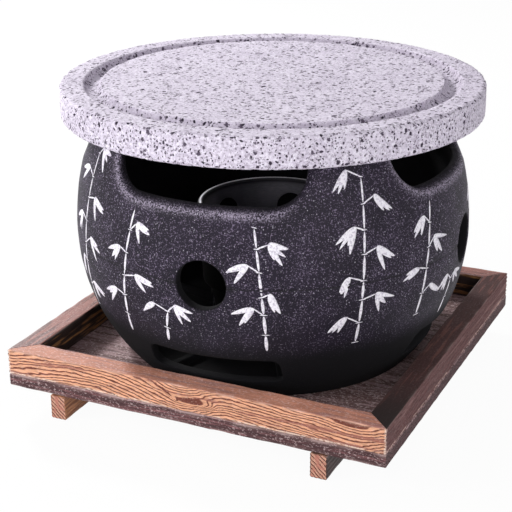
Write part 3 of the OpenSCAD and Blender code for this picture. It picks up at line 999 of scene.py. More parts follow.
def strokeTree(name):
    # One brush stroke, fuller near its start when it tapers, set on every point with its angle and size
    group, given, result = newTree(name, {"Sides": "Int", "Rings": "Int", "Taper": "Float", "Bend": "Float"})
    blank = fromNode(group, "GeometryNodeMeshUVSphere",
                     {"Radius": 0.5, "Segments": given["Sides"], "Rings": given["Rings"]})
    laid = fromNode(group, "GeometryNodeTransform", {"Geometry": blank, "Rotation": (0, math.pi / 2, 0)})
    position = fromNode(group, "GeometryNodeInputPosition")
    x, y, z = addNode(group, "ShaderNodeSeparateXYZ", {"Vector": position}).outputs
    fuller = reckon(group, "SUBTRACT", 1.0, times(group, x, given["Taper"]))
    bowed = times(group, times(group, x, x), given["Bend"])
    across = plus(group, times(group, y, fuller), bowed)
    place = fromNode(group, "ShaderNodeCombineXYZ", {"X": x, "Y": across, "Z": z})
    shaped = fromNode(group, "GeometryNodeSetPosition", {"Geometry": laid, "Position": place})
    size = fromNode(group, "GeometryNodeInputNamedAttribute", {"Name": "size"}, data_type="FLOAT_VECTOR")
    lean = fromNode(group, "GeometryNodeInputNamedAttribute", {"Name": "lean"}, data_type="FLOAT")
    turn = fromNode(group, "ShaderNodeCombineXYZ", {"Z": lean})
    spread = fromNode(group, "GeometryNodeInstanceOnPoints",
                      {"Points": given["Geometry"], "Instance": shaped, "Rotation": turn, "Scale": size})
    finishTree(group, spread, paintFinish, result)
    return group


def layStrokes(name, strokes, inputs):
    # strokes holds one list a quarter, each laid out a quarter of the wall's length further along the flat
    shift = bowl["radius"] * math.pi / 2
    rows = np.array([(x + k * shift, *rest) for k, quarter in enumerate(strokes) for x, *rest in quarter])
    cloud = pointCloud(name + "Seed", np.column_stack([rows[:, 0], rows[:, 1], np.zeros(len(rows))]))
    sizes = np.column_stack([rows[:, 3], rows[:, 4], np.full(len(rows), 2 * bamboo["paint"])]) * mm
    cloud.data.attributes.new("size", "FLOAT_VECTOR", "POINT").data.foreach_set("vector", sizes.ravel())
    cloud.data.attributes.new("lean", "FLOAT", "POINT").data.foreach_set("value", rows[:, 2])
    piece = runTree(
        name, cloud, strokeTree(name), {"Sides": bamboo["sides"], "Rings": bamboo["rings"], **inputs})
    flat = np.empty(len(piece.data.vertices) * 3)
    piece.data.vertices.foreach_get("co", flat)
    x, height, proud = flat.reshape(-1, 3).T / mm
    quarter = np.round(x / shift)
    away = bowlRadius(height) - outerDip(x - quarter * shift, height) + proud
    wrapped = roundAxis(x / bowl["radius"], away, bowl["base"] + height)
    piece.data.vertices.foreach_set("co", (turned(wrapped, bowl["turn"]) * mm).ravel())
    piece.data.shade_smooth()
    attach(piece, "bowl")


def makePaint():
    material, tree, surface = newMaterial("whitePaint", 0.6)
    thin = noise(tree, objectPoints(tree), 1.1, 2.0, 0.7)
    colour = mixColours(tree, ease(tree, thin, 0.38, 0.52), *bamboo["colours"])
    tree.links.new(colour, surface.inputs["Base Color"])
    addBump(tree, surface, thin, 0.08, 0.6)
    return material


paintFinish = makePaint()
sprigs = [sprigStrokes(quarter) for quarter in range(4)]
layStrokes("painted_bamboo_leaves", [leaves for leaves, _ in sprigs], {"Taper": 0.75, "Bend": 0.35})
layStrokes("painted_bamboo_culms", [culms for _, culms in sprigs], {"Taper": 0.0, "Bend": 0.0})
print("bamboo done")


# Charcoal cup: a sixth of its wall is one sheet with an upper and a lower air hole

cup = {
    "base": cupLow[2], "height": cupHigh[2] - cupLow[2], "footRadius": 34.0, "wall": 1.5, "stepHeight": 25.0,
    "stepWidth": 4.5, "flare": 0.5, "beadRadius": 1.5, "sectors": 6, "turn": 8.0,
    "holes": ((52.0, 8.5), (13.0, 5.0)), "holeRound": 0.35, "step": 2.4, "baseRound": 1.6,
}
# The bead is darkened as painted shade, a painted highlight runs along its crest, and the outside is
# near-black
cupSteel = {
    "drawn": ((0.17, 0.165, 0.195), (0.28, 0.27, 0.31)), "brushed": (0.09, 0.085, 0.10),
    "bead": (0.03, 0.028, 0.034), "outside": (0.002, 0.0018, 0.0023), "crestHighlight": (0.96, 0.95, 0.98),
    "roughness": (0.50, 0.34, 0.9),  # of the wall, of the painted highlight along the bead's top and of the near-black outside
}


def cupProfile():
    # Middle line of the cup's sheet metal from its foot to the bead, with its bends rounded
    half = cup["wall"] / 2
    foot, step = cup["footRadius"] - half, cup["footRadius"] + cup["stepWidth"] - half
    shelf, top = cup["stepHeight"] + half, cup["height"] - cup["beadRadius"]
    corners = np.array([(foot, 2.4), (foot, shelf), (step, shelf), (step + cup["flare"], top)])
    return smoothed(corners, 0.1, 1.0)


def cupSheet(profile, along):
    # Flat points and triangles of one sector of the wall, and its holes as x, y, radius and squeeze
    half, end = cup["footRadius"] * math.pi / cup["sectors"], along[-1]
    rows = np.concatenate([np.linspace(0, 20, 10), np.linspace(21.5, 33, 15), np.linspace(34.8, end, 22)])
    across = np.linspace(-half, half, 16)
    outer = [(x, 0) for x in across[:-1]] + [(half, y) for y in rows[:-1]]
    outer += [(x, end) for x in across[:0:-1]] + [(-half, y) for y in rows[:0:-1]]
    holes = []
    for height, radius in cup["holes"]:
        y = float(np.interp(height, profile[:, 1], along))
        squeeze = cup["footRadius"] / np.interp(y, along, profile[:, 0])  # the sheet is as wide as the foot
        holes.append((0.0, y, radius, squeeze))
    loops, rings = [np.array(outer)], []
    for x, y, radius, squeeze in holes:
        for gap in (0.0, 0.15, 0.45, 1.2):
            ring = circlePoints((x, y), radius + gap, 32)
            ring[:, 0] = x + (ring[:, 0] - x) * squeeze
            (loops if gap == 0 else rings).append(ring)
    bends = [np.column_stack([np.linspace(-half + 1.2, half - 1.2, 15), np.full(15, y)]) for y in rows[10:25]]
    mesh = lattice(-half + 1.0, half - 0.8, 1.4, end - 1.0, cup["step"])
    mesh = mesh[(mesh[:, 1] < 20.6) | (mesh[:, 1] > 34.0)]
    for x, y, radius, _ in holes:
        mesh = mesh[np.hypot(mesh[:, 0] - x, mesh[:, 1] - y) > radius + 1.9]
    return *triangulate(loops, rings + bends + [mesh]), holes


def buildCup():
    profile = cupProfile()
    along = np.arange(len(profile)) * 0.1
    flat, faces, holes = cupSheet(profile, along)
    slope = np.gradient(profile, axis=0)
    slope /= np.linalg.norm(slope, axis=1)[:, None]
    halfSector = cup["footRadius"] * math.pi / cup["sectors"]

    def place(flat, offset):
        run = flat[:, 1]
        radius = np.interp(run, along, profile[:, 0]) + offset * np.interp(run, along, slope[:, 1])
        height = np.interp(run, along, profile[:, 1]) - offset * np.interp(run, along, slope[:, 0])
        return sweepRow(flat[:, 0], radius, height)

    def isSeam(a, b):
        sides = abs(a[0] - b[0]) < 1e-3 and min(abs(a[0]), abs(b[0])) > halfSector - 1e-3
        ends = abs(a[1] - b[1]) < 1e-3 and (a[1] < 1e-3 or a[1] > along[-1] - 1e-3)
        return sides or ends

    rounds = (cup["holeRound"], cup["holeRound"])
    gaps = [(np.hypot((flat[:, 0] - x) / squeeze, flat[:, 1] - y) - radius, *rounds)
            for x, y, radius, squeeze in holes]
    wall, faces = shellFromSheet(flat, faces, gaps, cup["wall"] / 2, place, isSeam)
    parts, total = [wall], len(wall)
    side = np.linspace(-halfSector, halfSector, 16)
    for rows in (cupBead(side, profile, slope), cupFloor(side, profile)):
        rowPoints, rowFaces = grid(rows)
        faces += [tuple(i + total for i in face) for face in rowFaces]
        parts.append(rowPoints)
        total += len(rowPoints)
    sector = np.concatenate(parts)
    turns = [cup["turn"] + k * 360 / cup["sectors"] for k in range(cup["sectors"])]
    points = np.concatenate([turned(sector, turn) for turn in turns])
    drop = cup["height"] - (points[:, 2] - cup["base"])
    beyond = np.hypot(points[:, 0], points[:, 1]) - np.interp(cup["height"] - drop, *wallMiddle(profile))
    # Painted highlight along the bead's crest, the bead darkened as painted shade, and the near-black outside
    marks = {"crestHighlight": np.clip((0.20 - drop) / 0.16, 0, 1), "bead": np.clip((3.4 - drop) / 0.8, 0, 1),
             "outside": np.clip(beyond + 0.5, 0, 1)}
    return addPiece("drawn_charcoal_cup", points, repeated(faces, total, cup["sectors"]), steelFinish, marks,
                    weld=0.01, crease=60)


def wallMiddle(profile):
    order = np.argsort(profile[:, 1], kind="stable")
    return profile[order, 1], profile[order, 0]


def sweepRow(side, radius, height):
    return roundAxis(side / cup["footRadius"], radius, cup["base"] + height)


def cupBead(side, profile, slope):
    # Rolled bead from the wall's outer face over the mouth to its inner face
    half, bead = cup["wall"] / 2, cup["beadRadius"]
    end, direction = profile[-1], slope[-1]
    outer = (end[0] + half * direction[1], end[1] - half * direction[0])
    inner = (end[0] - half * direction[1], end[1] + half * direction[0])
    centre = (cup["footRadius"] + cup["stepWidth"] + cup["flare"], cup["height"] - bead)
    rows = [sweepRow(side, *outer)]
    for angle in np.radians(np.linspace(-75, 205, 17)):
        rows.append(sweepRow(side, centre[0] + bead * math.cos(angle), centre[1] + bead * math.sin(angle)))
    rows.append(sweepRow(side, *inner))
    return rows


def cupFloor(side, profile):
    # Round foot edge, flat base and the floor inside it
    half, foot = cup["wall"] / 2, profile[0, 0]
    outer, inner, bend = foot + half, foot - half, cup["baseRound"]
    rows = [sweepRow(side, outer, profile[0, 1])]
    for angle in np.radians(np.linspace(0, 90, 6)):
        rows.append(sweepRow(side, outer - bend + bend * math.cos(angle), bend - bend * math.sin(angle)))
    rows += [sweepRow(side, radius, 0) for radius in (outer * 0.7, outer * 0.3, 0)]
    rows += [sweepRow(side, radius, cup["wall"]) for radius in (0, inner * 0.3, inner * 0.7, inner - 0.8)]
    rows += [sweepRow(side, inner - 0.25, cup["wall"] + 0.25), sweepRow(side, inner, profile[0, 1])]
    return rows


def makeSteel():
    material, tree, surface = newMaterial("cupSteel", 0.42, 0.7)
    crestHighlight, bead, outside = (attribute(tree, name) for name in ("crestHighlight", "bead", "outside"))
    smoke = noise(tree, objectPoints(tree), 22, 4.0)
    brushed = noise(tree, objectPoints(tree, (1, 1, 14)), 3.0, 3.0)
    colour = mixColours(tree, ease(tree, smoke, 0.35, 0.65), *cupSteel["drawn"])
    colour = mixColours(tree, ease(tree, brushed, 0.35, 0.65, 0.0, 0.4), colour, cupSteel["brushed"])
    # Bead darkened as painted shade, near-black outside, and painted highlight on the crest
    for mask, name in ((bead, "bead"), (outside, "outside"), (crestHighlight, "crestHighlight")):
        colour = mixColours(tree, mask, colour, cupSteel[name])
    tree.links.new(colour, surface.inputs["Base Color"])
    wall, bright, darkened = cupSteel["roughness"]
    rough = mixValues(tree, outside, mixValues(tree, crestHighlight, wall, bright), darkened)
    tree.links.new(rough, surface.inputs["Roughness"])
    addBump(tree, surface, brushed, 0.03, 0.5)
    return material


steelFinish = makeSteel()
charcoalCup = buildCup()
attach(charcoalCup, "cup")
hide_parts("charcoal_cup")
print("cup done")


# Fire grate: a cast disc with rings of round holes, its edges eased

grateLow, grateHigh = frameBox("fire_grate")
grate = {
    "base": grateLow[2], "thickness": grateHigh[2] - grateLow[2], "radius": (grateHigh[0] - grateLow[0]) / 2,
    "hole": 2.5, "pitch": 9.0, "rings": 3, "round": 0.5, "step": 2.2,
    "iron": ((0.035, 0.033, 0.035), (0.10, 0.092, 0.088)), "bare": (0.22, 0.20, 0.19),
}


def buildGrate():
    outer, hole = grate["radius"], grate["hole"]
    centres = [(0.0, 0.0)]
    for ring in range(1, grate["rings"] + 1):
        centres += circlePoints((0, 0), ring * grate["pitch"], 6 * ring).tolist()
    loops = [circlePoints((0, 0), outer, 120)] + [circlePoints(centre, hole, 20) for centre in centres]
    inner = [circlePoints((0, 0), outer - gap, 110) for gap in (0.15, 0.5, 1.4)]
    inner += [circlePoints(centre, hole + gap, 20) for centre in centres for gap in (0.15, 0.5)]
    mesh = lattice(-outer, outer, -outer, outer, grate["step"])
    mesh = mesh[np.hypot(mesh[:, 0], mesh[:, 1]) < outer - 2.4]
    for x, y in centres:
        mesh = mesh[np.hypot(mesh[:, 0] - x, mesh[:, 1] - y) > hole + 1.1]
    flat, faces = triangulate(loops, inner + [mesh])
    rounds = (grate["round"], grate["round"])
    gaps = [(outer - np.hypot(flat[:, 0], flat[:, 1]), *rounds)]
    gaps += [(np.hypot(flat[:, 0] - x, flat[:, 1] - y) - hole, *rounds) for x, y in centres]
    middle = grate["base"] + grate["thickness"] / 2

    def place(flat, offset):
        return np.column_stack([flat, middle + offset])

    points, faces = shellFromSheet(flat, faces, gaps, grate["thickness"] / 2, place, lambda a, b: False)
    return addPiece("cast_fire_grate", points, faces, ironFinish, crease=60)


def makeIron():
    material, tree, surface = newMaterial("grateIron", 0.68, 0.35)
    points = objectPoints(tree)
    scale = noise(tree, points, 5, 4.0, 0.65)
    sand = noise(tree, points, 0.7, 3.0, 0.7)
    colour = mixColours(tree, ease(tree, scale, 0.35, 0.65), *grate["iron"])
    colour = mixColours(tree, ease(tree, sand, 0.60, 0.72, 0.0, 0.5), colour, grate["bare"])
    tree.links.new(colour, surface.inputs["Base Color"])
    addBump(tree, surface, sand, 0.15, 0.7)
    return material


ironFinish = makeIron()
fireGrate = buildGrate()
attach(fireGrate, "grate")
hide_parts("fire_grate")
print("grate done")


# Wooden tray: each piece is a plank with eased arrises, its growth rings brushed into relief

boardLow, boardHigh = frameBox("tray_board")
railLow, railHigh = frameBox("front_rail")
runnerLow, runnerHigh = frameBox("left_runner")
tray = {"half": boardHigh[0], "railWidth": railHigh[1] - railLow[1], "railHeight": railHigh[2] - railLow[2],
        "railBase": railLow[2], "boardBase": boardLow[2], "boardThick": boardHigh[2] - boardLow[2],
        "runnerWidth": runnerHigh[0] - runnerLow[0], "runnerHeight": runnerHigh[2] - runnerLow[2],
        "runnerMiddle": {node: sum(end[0] for end in frameBox(node)) / 2
                         for node in ("left_runner", "right_runner")}}


def plankOutline(width, height, arris, steps):
    # Points, outward normals and distance from the nearest arris, round a plank's section from its underside
    points, normals, gaps = [], [], []
    sides = (((arris, 0), (1, 0), (0, -1), width), ((width, arris), (0, 1), (1, 0), height),
             ((width - arris, height), (-1, 0), (0, 1), width),
             ((0, height - arris), (0, -1), (-1, 0), height))
    middles = ((width - arris, arris), (width - arris, height - arris),
               (arris, height - arris), (arris, arris))
    for k, (start, way, out, length) in enumerate(sides):
        reach = length - 2 * arris
        parts = max(2, int(round(reach / steps[k])))
        for t in np.linspace(0, reach, parts + 1):
            points.append((start[0] + way[0] * t, start[1] + way[1] * t))
            normals.append(out)
            gaps.append(min(t, reach - t) + 0.4)
        for angle in np.radians(90 * k - 90 + np.array([22.5, 45, 67.5])):
            points.append((middles[k][0] + arris * math.cos(angle), middles[k][1] + arris * math.sin(angle)))
            normals.append((math.cos(angle), math.sin(angle)))
            gaps.append(0.0)
    return np.array(points), np.array(normals), np.array(gaps)


def bandOf(ring):
    # The latewood band that the shader paints, as a height from 0 to 1
    turn = ring - np.floor(ring)
    return smoothStep(turn, *latewood["rise"]) * (1 - smoothStep(turn, *latewood["fall"]))


def buildPlank(name, plan, ringField, place, material):
    # Sections along the plank, worn at its arrises and carved between its ring lines, with a cap on each end
    half, width, height, relief = (plan[key] for key in ("half", "width", "height", "relief"))
    outline, normals, gaps = plankOutline(width, height, plan["arris"], plan["steps"])
    count, end = len(outline), plan["endRound"]
    between = np.linspace(-half + end, half - end, int(2 * half / plan["along"]))
    sections = np.concatenate([[-half, -half + 0.3 * end], between, [half - 0.3 * end, half]])
    shrink = np.zeros(len(sections))
    shrink[[0, -1]] = end
    shrink[[1, -2]] = end * 0.3
    s, inwards = np.repeat(sections, count), np.repeat(shrink, count)
    w, u, nw, nu, gap = (np.tile(values, len(sections)) for values in (*outline.T, *normals.T, gaps))

    def runAt(across):
        # Place along the plank, drawn in towards its middle where a mitre cuts it
        return s * (half - across) / half if plan["mitred"] else s

    spot = np.column_stack([runAt(w), w, u])
    ring = ringField(spot)
    wear = np.exp(-gap / 0.5) * np.clip(0.5 + 0.8 * waviness(spot, (14, 6, 6), plan["seed"]), 0, 1)
    carved = relief * (1 - bandOf(ring)) * np.clip(1 - plan["planed"] * np.clip(nu, 0, 1), 0, 1)
    carved = carved * np.clip(0.3 + 0.7 * gap, 0.3, 1)
    dented = 0.06 * np.clip(0.5 + 0.5 * waviness(spot, (30, 7, 7), plan["seed"] + 1), 0, 1)
    carved = carved + dented + 0.20 * wear
    w = w - nw * (carved + inwards)
    u = u - nu * (carved + inwards)
    side = np.column_stack([runAt(w), w, u])
    faces = []
    for r in range(len(sections) - 1):
        a = np.arange(count) + r * count
        b = np.roll(a, -1)
        faces += np.column_stack([a, b, b + count, a + count]).tolist()
    points, rings = [side], [ring]
    total, step = len(side), plan["capStep"]
    for sign, first in ((-1, 0), (1, len(side) - count)):
        rim = side[first:first + count, 1:]
        inner = lattice(step, width - 0.6 * step, step, height - 0.6 * step, step)
        flat, capFaces = triangulate([rim], [inner])
        reach = half - flat[:, 0] if plan["mitred"] else np.full(len(flat), half)
        cap = np.column_stack([sign * reach, flat])
        capRing = ringField(cap)
        if not plan["mitred"]:
            carvedEnd = relief * (1 - bandOf(capRing))
            carvedEnd[:count] = 0
            cap[:, 0] -= sign * carvedEnd
        points.append(cap)
        rings.append(capRing)
        faces += [tuple(i + total for i in face) for face in capFaces.tolist()]
        total += len(cap)
    local = np.concatenate(points)
    capZeros = np.zeros(total - len(side))
    marks = {"ring": np.concatenate(rings), "wear": np.concatenate([wear, capZeros]), "grain": local * mm,
             "top": np.concatenate([np.clip(nu, 0, 1), capZeros]),
             "inner": np.concatenate([np.clip(nw, 0, 1), capZeros]),
             "end": np.concatenate([np.zeros(len(side)), capZeros + 1])}
    return addPiece(name, place(local), faces, material, marks, weld=0.003, crease=55)


def railPlace(turns):
    def place(local):
        points = np.column_stack([local[:, 0], local[:, 1] - tray["half"], tray["railBase"] + local[:, 2]])
        return turned(points, 90 * turns)
    return place


def boardPlace(local):
    return np.column_stack([local[:, 0], local[:, 1] - tray["half"], tray["boardBase"] + local[:, 2]])


def runnerPlace(node):
    def place(local):
        x = tray["runnerMiddle"][node] - tray["runnerWidth"] / 2 + local[:, 1]
        return np.column_stack([x, local[:, 0], local[:, 2]])
    return place


# The front rail's grain line as (place along the rail, rise), and its dark lenses as middle, reaches, slant
frontGrain = {
    "line": ((-104, -4.5), (-92, -3.0), (-82, -1.6), (-66, 0), (-52, -0.5), (-39.5, -1.5), (-32, -2.9),
             (-27, -4.2), (-13.5, -7.4), (-6.5, -9.8), (-2.5, -10.4), (4, -9.2), (11, -5.6), (16, -3.4),
             (22, -2.7), (27, -2.8), (37, -4.1), (45, -5.0), (58, -6.0), (73, -7.4), (82, -9.2),
             (89, -10.0), (95, -9.0), (104, -5.4)),
    "spacing": 1.7,
    "lenses": ((4.5, 6.5, 10.5, 2.8, -0.04), (-11.5, 9.4, 6.5, 1.1, -0.62), (86.5, 12.1, 11.0, 1.6, -0.03)),
}


def frontRings(spot):
    x, w, u = spot.T
    line = np.array(frontGrain["line"])
    bend = np.interp(x, line[:, 0], line[:, 1])
    for shift in (-3.0, 3.0):
        bend = bend + np.interp(x + shift, line[:, 0], line[:, 1])
    bend /= 3
    stray = 0.35 * waviness(spot, (26, 9, 7), 21) + 0.10 * waviness(spot, (5, 4, 3), 22)
    ring = (u - bend + 0.45 * w) / frontGrain["spacing"] + stray
    ring = ring + 0.06 * (u - 7) * waviness(spot * (1, 0, 0), 40, 23)
    for cx, cu, rx, ru, slant in frontGrain["lenses"]:
        reach = ((x - cx) / rx) ** 2 + ((u - cu - slant * (x - cx)) / ru) ** 2 + (w / 6) ** 2
        share = np.exp(-reach ** 1.7)
        middle = (cu - np.interp(cx, line[:, 0], line[:, 1])) / frontGrain["spacing"]
        ring = ring + (math.floor(middle) + 0.83 - ring) * share
    return ring


def straightRings(spacing, lean, seed):
    def field(spot):
        stray = 0.9 * waviness(spot, (90, 18, 14), seed) + 0.15 * waviness(spot, (12, 3, 3), seed + 1)
        return (spot[:, 2] + lean * spot[:, 1]) / spacing + stray
    return field


def endRings(spot):
    bow = np.hypot(spot[:, 1] + 50, spot[:, 2] + 50)
    return bow / 1.75 + 0.16 * waviness(spot, (50, 6, 6), 41)


paleWood = {"speck": (0.84, 0.70, 0.70), "wear": (0.80, 0.66, 0.62)}
woodLooks = {
    # For each face: light and dark wood, strength of the ring lines, streak colour and share, pale specks
    # The rails' inner faces are darkened as painted shade.
    "frontRail": {
        "outer": ((0.83, 0.42, 0.26), (0.16, 0.042, 0.028), 1.0, (0.34, 0.13, 0.10), 0.18, 0.25),
        "top": ((0.60, 0.26, 0.175), (0.26, 0.115, 0.09), 0.10, (0.36, 0.175, 0.155), 0.25, 0.60),
        "inner": ((0.10, 0.05, 0.045), (0.03, 0.018, 0.018), 0.3, (0.25, 0.12, 0.06), 0.2, 0.0),
        "end": ((0.40, 0.2, 0.15), (0.15, 0.06, 0.05), 0.5, (0.2, 0.1, 0.1), 0.2, 0.0), "roughness": 0.62,
        "wornCorner": (0.86, 0.68, 0.58)},
    "leftRail": {
        "outer": ((0.24, 0.14, 0.14), (0.10, 0.055, 0.055), 0.3, (0.10, 0.05, 0.05), 0.3, 0.15),
        "top": ((0.33, 0.125, 0.10), (0.12, 0.047, 0.04), 0.12, (0.10, 0.038, 0.034), 0.40, 0.30),
        "inner": ((0.030, 0.018, 0.016), (0.010, 0.007, 0.007), 0.3, (0.38, 0.18, 0.07), 0.24, 0.0),
        "end": ((0.20, 0.1, 0.09), (0.1, 0.05, 0.05), 0.3, (0.1, 0.05, 0.05), 0.2, 0.0), "roughness": 0.5},
    # The right rail is a shaded copy of the rail wood: painted shade on every face, darkest on its top, with
    # painted shade at its front end as well
    "shadedRightRail": {
        "outer": ((0.155, 0.072, 0.072), (0.060, 0.026, 0.027), 0.35, (0.27, 0.15, 0.145), 0.14, 0.12),
        "top": ((0.060, 0.024, 0.023), (0.022, 0.010, 0.010), 0.15, (0.15, 0.060, 0.052), 0.20, 0.08),
        "inner": ((0.020, 0.013, 0.012), (0.010, 0.007, 0.007), 0.3, (0.07, 0.03, 0.02), 0.2, 0.0),
        "end": ((0.20, 0.1, 0.09), (0.1, 0.05, 0.05), 0.3, (0.1, 0.05, 0.05), 0.2, 0.0), "roughness": 0.8,
        "shadedEnd": ((0.008, 0.005, 0.005), -0.098, -0.030), "edgeWear": 0.3,
        "wornCorner": (0.74, 0.52, 0.46)},
    "board": {
        "outer": ((0.21, 0.092, 0.098), (0.055, 0.024, 0.027), 0.8, (0.055, 0.025, 0.028), 0.45, 0.60),
        "top": ((0.42, 0.275, 0.285), (0.15, 0.085, 0.088), 0.35, (0.13, 0.070, 0.066), 0.32, 0.85),
        "inner": ((0.17, 0.080, 0.088), (0.045, 0.022, 0.026), 0.8, (0.055, 0.027, 0.031), 0.45, 0.42),
        "end": ((0.10, 0.045, 0.050), (0.035, 0.016, 0.018), 0.7, (0.05, 0.022, 0.024), 0.3, 0.2),
        "roughness": 0.72},
    "leftRunner": {
        "outer": ((0.50, 0.23, 0.12), (0.22, 0.08, 0.045), 0.4, (0.24, 0.09, 0.05), 0.35, 0.0),
        "top": ((0.50, 0.23, 0.12), (0.22, 0.08, 0.045), 0.4, (0.24, 0.09, 0.05), 0.35, 0.0),
        "inner": ((0.50, 0.23, 0.12), (0.20, 0.07, 0.04), 0.4, (0.20, 0.075, 0.04), 0.40, 0.0),
        "end": ((0.66, 0.36, 0.26), (0.12, 0.035, 0.025), 1.0, (0.5, 0.2, 0.15), 0.1, 0.0), "roughness": 0.6},
    # The right runner is a shaded copy of the runner wood: painted shade, darkest on its inner face
    "shadedRightRunner": {
        "outer": ((0.30, 0.14, 0.09), (0.12, 0.05, 0.035), 0.4, (0.10, 0.05, 0.035), 0.4, 0.0),
        "top": ((0.30, 0.14, 0.09), (0.12, 0.05, 0.035), 0.4, (0.10, 0.05, 0.035), 0.4, 0.0),
        "inner": ((0.060, 0.030, 0.028), (0.016, 0.010, 0.010), 0.5, (0.26, 0.15, 0.14), 0.16, 0.0),
        "end": ((0.66, 0.36, 0.26), (0.12, 0.035, 0.025), 1.0, (0.5, 0.2, 0.15), 0.1, 0.0),
        "roughness": 0.55},
}


def byFace(tree, masks, look, index):
    # One of the look's values, picked by which face of the plank the point lies on
    value = look["outer"][index]
    mix = mixColours if isinstance(value, tuple) else mixValues
    for face, mask in masks.items():
        value = mix(tree, mask, value, look[face][index])
    return value


def stretched(tree, where, along):
    return fromNode(tree, "ShaderNodeMapping", {"Vector": where, "Scale": (along, 1, 1)})


def makeWood(name, look):
    material, tree, surface = newMaterial(name, look["roughness"])
    surface.inputs["Specular IOR Level"].default_value = 0.25
    where = attribute(tree, "grain", "Vector")
    run, _, height = addNode(tree, "ShaderNodeSeparateXYZ", {"Vector": where}).outputs
    masks = {face: ease(tree, attribute(tree, face), 0.45, 0.8) for face in ("inner", "top", "end")}
    light, dark, lines, streak, share, specks = (byFace(tree, masks, look, k) for k in range(6))
    grain = placeGroup(tree, woodGrain, {
        "Points": stretched(tree, where, 0.07), "Ring": attribute(tree, "ring"), "Contrast": lines,
        "Light": light, "Dark": dark})
    long = noise(tree, stretched(tree, where, 0.055), 2.6, 3.0, 0.6)
    patch = noise(tree, stretched(tree, where, 0.35), 15, 3.0, 0.6)
    level = plus(tree, times(tree, long, 0.6), times(tree, patch, 0.4))
    streaks = ease(tree, plus(tree, level, times(tree, share, 0.30)), 0.575, 0.64)
    colour = mixColours(tree, times(tree, streaks, 0.85), grain["Color"], streak)
    dots = noise(tree, stretched(tree, where, 0.6), 0.95, 2.0, 0.75)
    pale = mixColours(tree, 0.55, light, paleWood["speck"])
    colour = mixColours(tree, times(tree, ease(tree, dots, 0.55, 0.63), specks), colour, pale)
    wear = times(tree, attribute(tree, "wear"), look.get("edgeWear", 0.7))
    colour = mixColours(tree, wear, colour, mixColours(tree, 0.35, light, paleWood["wear"]))
    if "wornCorner" in look:  # pale wood where the mitre's sharp corner and the lower edge have been knocked
        away = reckon(tree, "ABSOLUTE", run)
        corner = ease(tree, away, (tray["half"] - 1.6) * mm, (tray["half"] - 0.5) * mm)
        foot = ease(tree, height, 1.0 * mm, 1.5 * mm, 1.0, 0.0)
        knocked = reckon(tree, "MAXIMUM", corner, times(tree, foot, ease(tree, patch, 0.44, 0.49)))
        knocked = times(tree, knocked, ease(tree, dots, 0.40, 0.52))
        colour = mixColours(tree, times(tree, knocked, 0.8), colour, look["wornCorner"])
    if "shadedEnd" in look:  # one end of the plank's top is painted black as painted shade
        black, start, stop = look["shadedEnd"]
        endShade = times(tree, ease(tree, run, start, stop, 1.0, 0.0), masks["top"])
        colour = mixColours(tree, times(tree, endShade, 0.9), colour, black)
    tree.links.new(colour, surface.inputs["Base Color"])
    relief = plus(tree, times(tree, grain["Fibre"], 0.6), times(tree, grain["Band"], 0.6))
    addBump(tree, surface, relief, 0.22, 0.8)
    return material


woods = {name: makeWood(name + "Wood", look) for name, look in woodLooks.items()}

# Steps: the mesh's spacing round the section, from the underside over the inner face and top to the outer
railPlan = {
    "half": tray["half"], "width": tray["railWidth"], "height": tray["railHeight"], "arris": 0.7,
    "endRound": 0.18, "along": 0.9, "steps": (1.2, 0.7, 0.6, 0.42), "capStep": 3.0, "mitred": True,
    "relief": 0.28, "planed": 1.0, "seed": 31,
}
boardPlan = {
    "half": tray["half"], "width": 2 * tray["half"], "height": tray["boardThick"], "arris": 1.0,
    "endRound": 0.4, "along": 2.0, "steps": (4.0, 0.5, 1.1, 0.5), "capStep": 1.2, "mitred": False,
    "relief": 0.22, "planed": 1.0, "seed": 35,
}
runnerPlan = {
    "half": tray["half"], "width": tray["runnerWidth"], "height": tray["runnerHeight"], "arris": 0.7,
    "endRound": 0.3, "along": 1.2, "steps": (0.6, 0.6, 0.6, 0.6), "capStep": 0.4, "mitred": False,
    "relief": 0.2, "planed": 0.0, "seed": 37,
}

woodPieces = (
    ("front_rail", railPlan, frontRings, railPlace(0), "frontRail", "charred_front_rail"),
    ("right_rail", railPlan, straightRings(2.6, 0.5, 51), railPlace(1), "shadedRightRail", "charred_rail"),
    ("back_rail", railPlan, straightRings(2.4, 0.7, 53), railPlace(2), "leftRail", "charred_rail"),
    ("left_rail", railPlan, straightRings(2.2, 0.4, 55), railPlace(3), "leftRail", "charred_rail"),
    ("tray_board", boardPlan, straightRings(1.6, 0.02, 57), boardPlace, "board", "charred_board"),
    ("left_runner", runnerPlan, endRings, runnerPlace("left_runner"), "leftRunner", "runner_wood"),
    ("right_runner", runnerPlan, endRings, runnerPlace("right_runner"), "shadedRightRunner", "runner_wood"),
)
for node, plan, rings, place, wood, slotName in woodPieces:
    plank = buildPlank("wooden_" + node, plan, rings, place, woods[wood])
    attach(plank, "tray")
    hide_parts(node)
print("tray done")


# Wire nails: one geometry tree sets a nail on every point

nails = {
    "shank": 1.6, "head": 3.2, "headThick": 0.8, "point": 2.0, "sides": 20, "across": 36.94, "along": 54.44,
    "runnerEnd": 80.44, "lengths": {"rail_nails": 16.0, "runner_nails": 18.5},
    "steel": ((0.36, 0.35, 0.35), (0.60, 0.59, 0.58)),
}


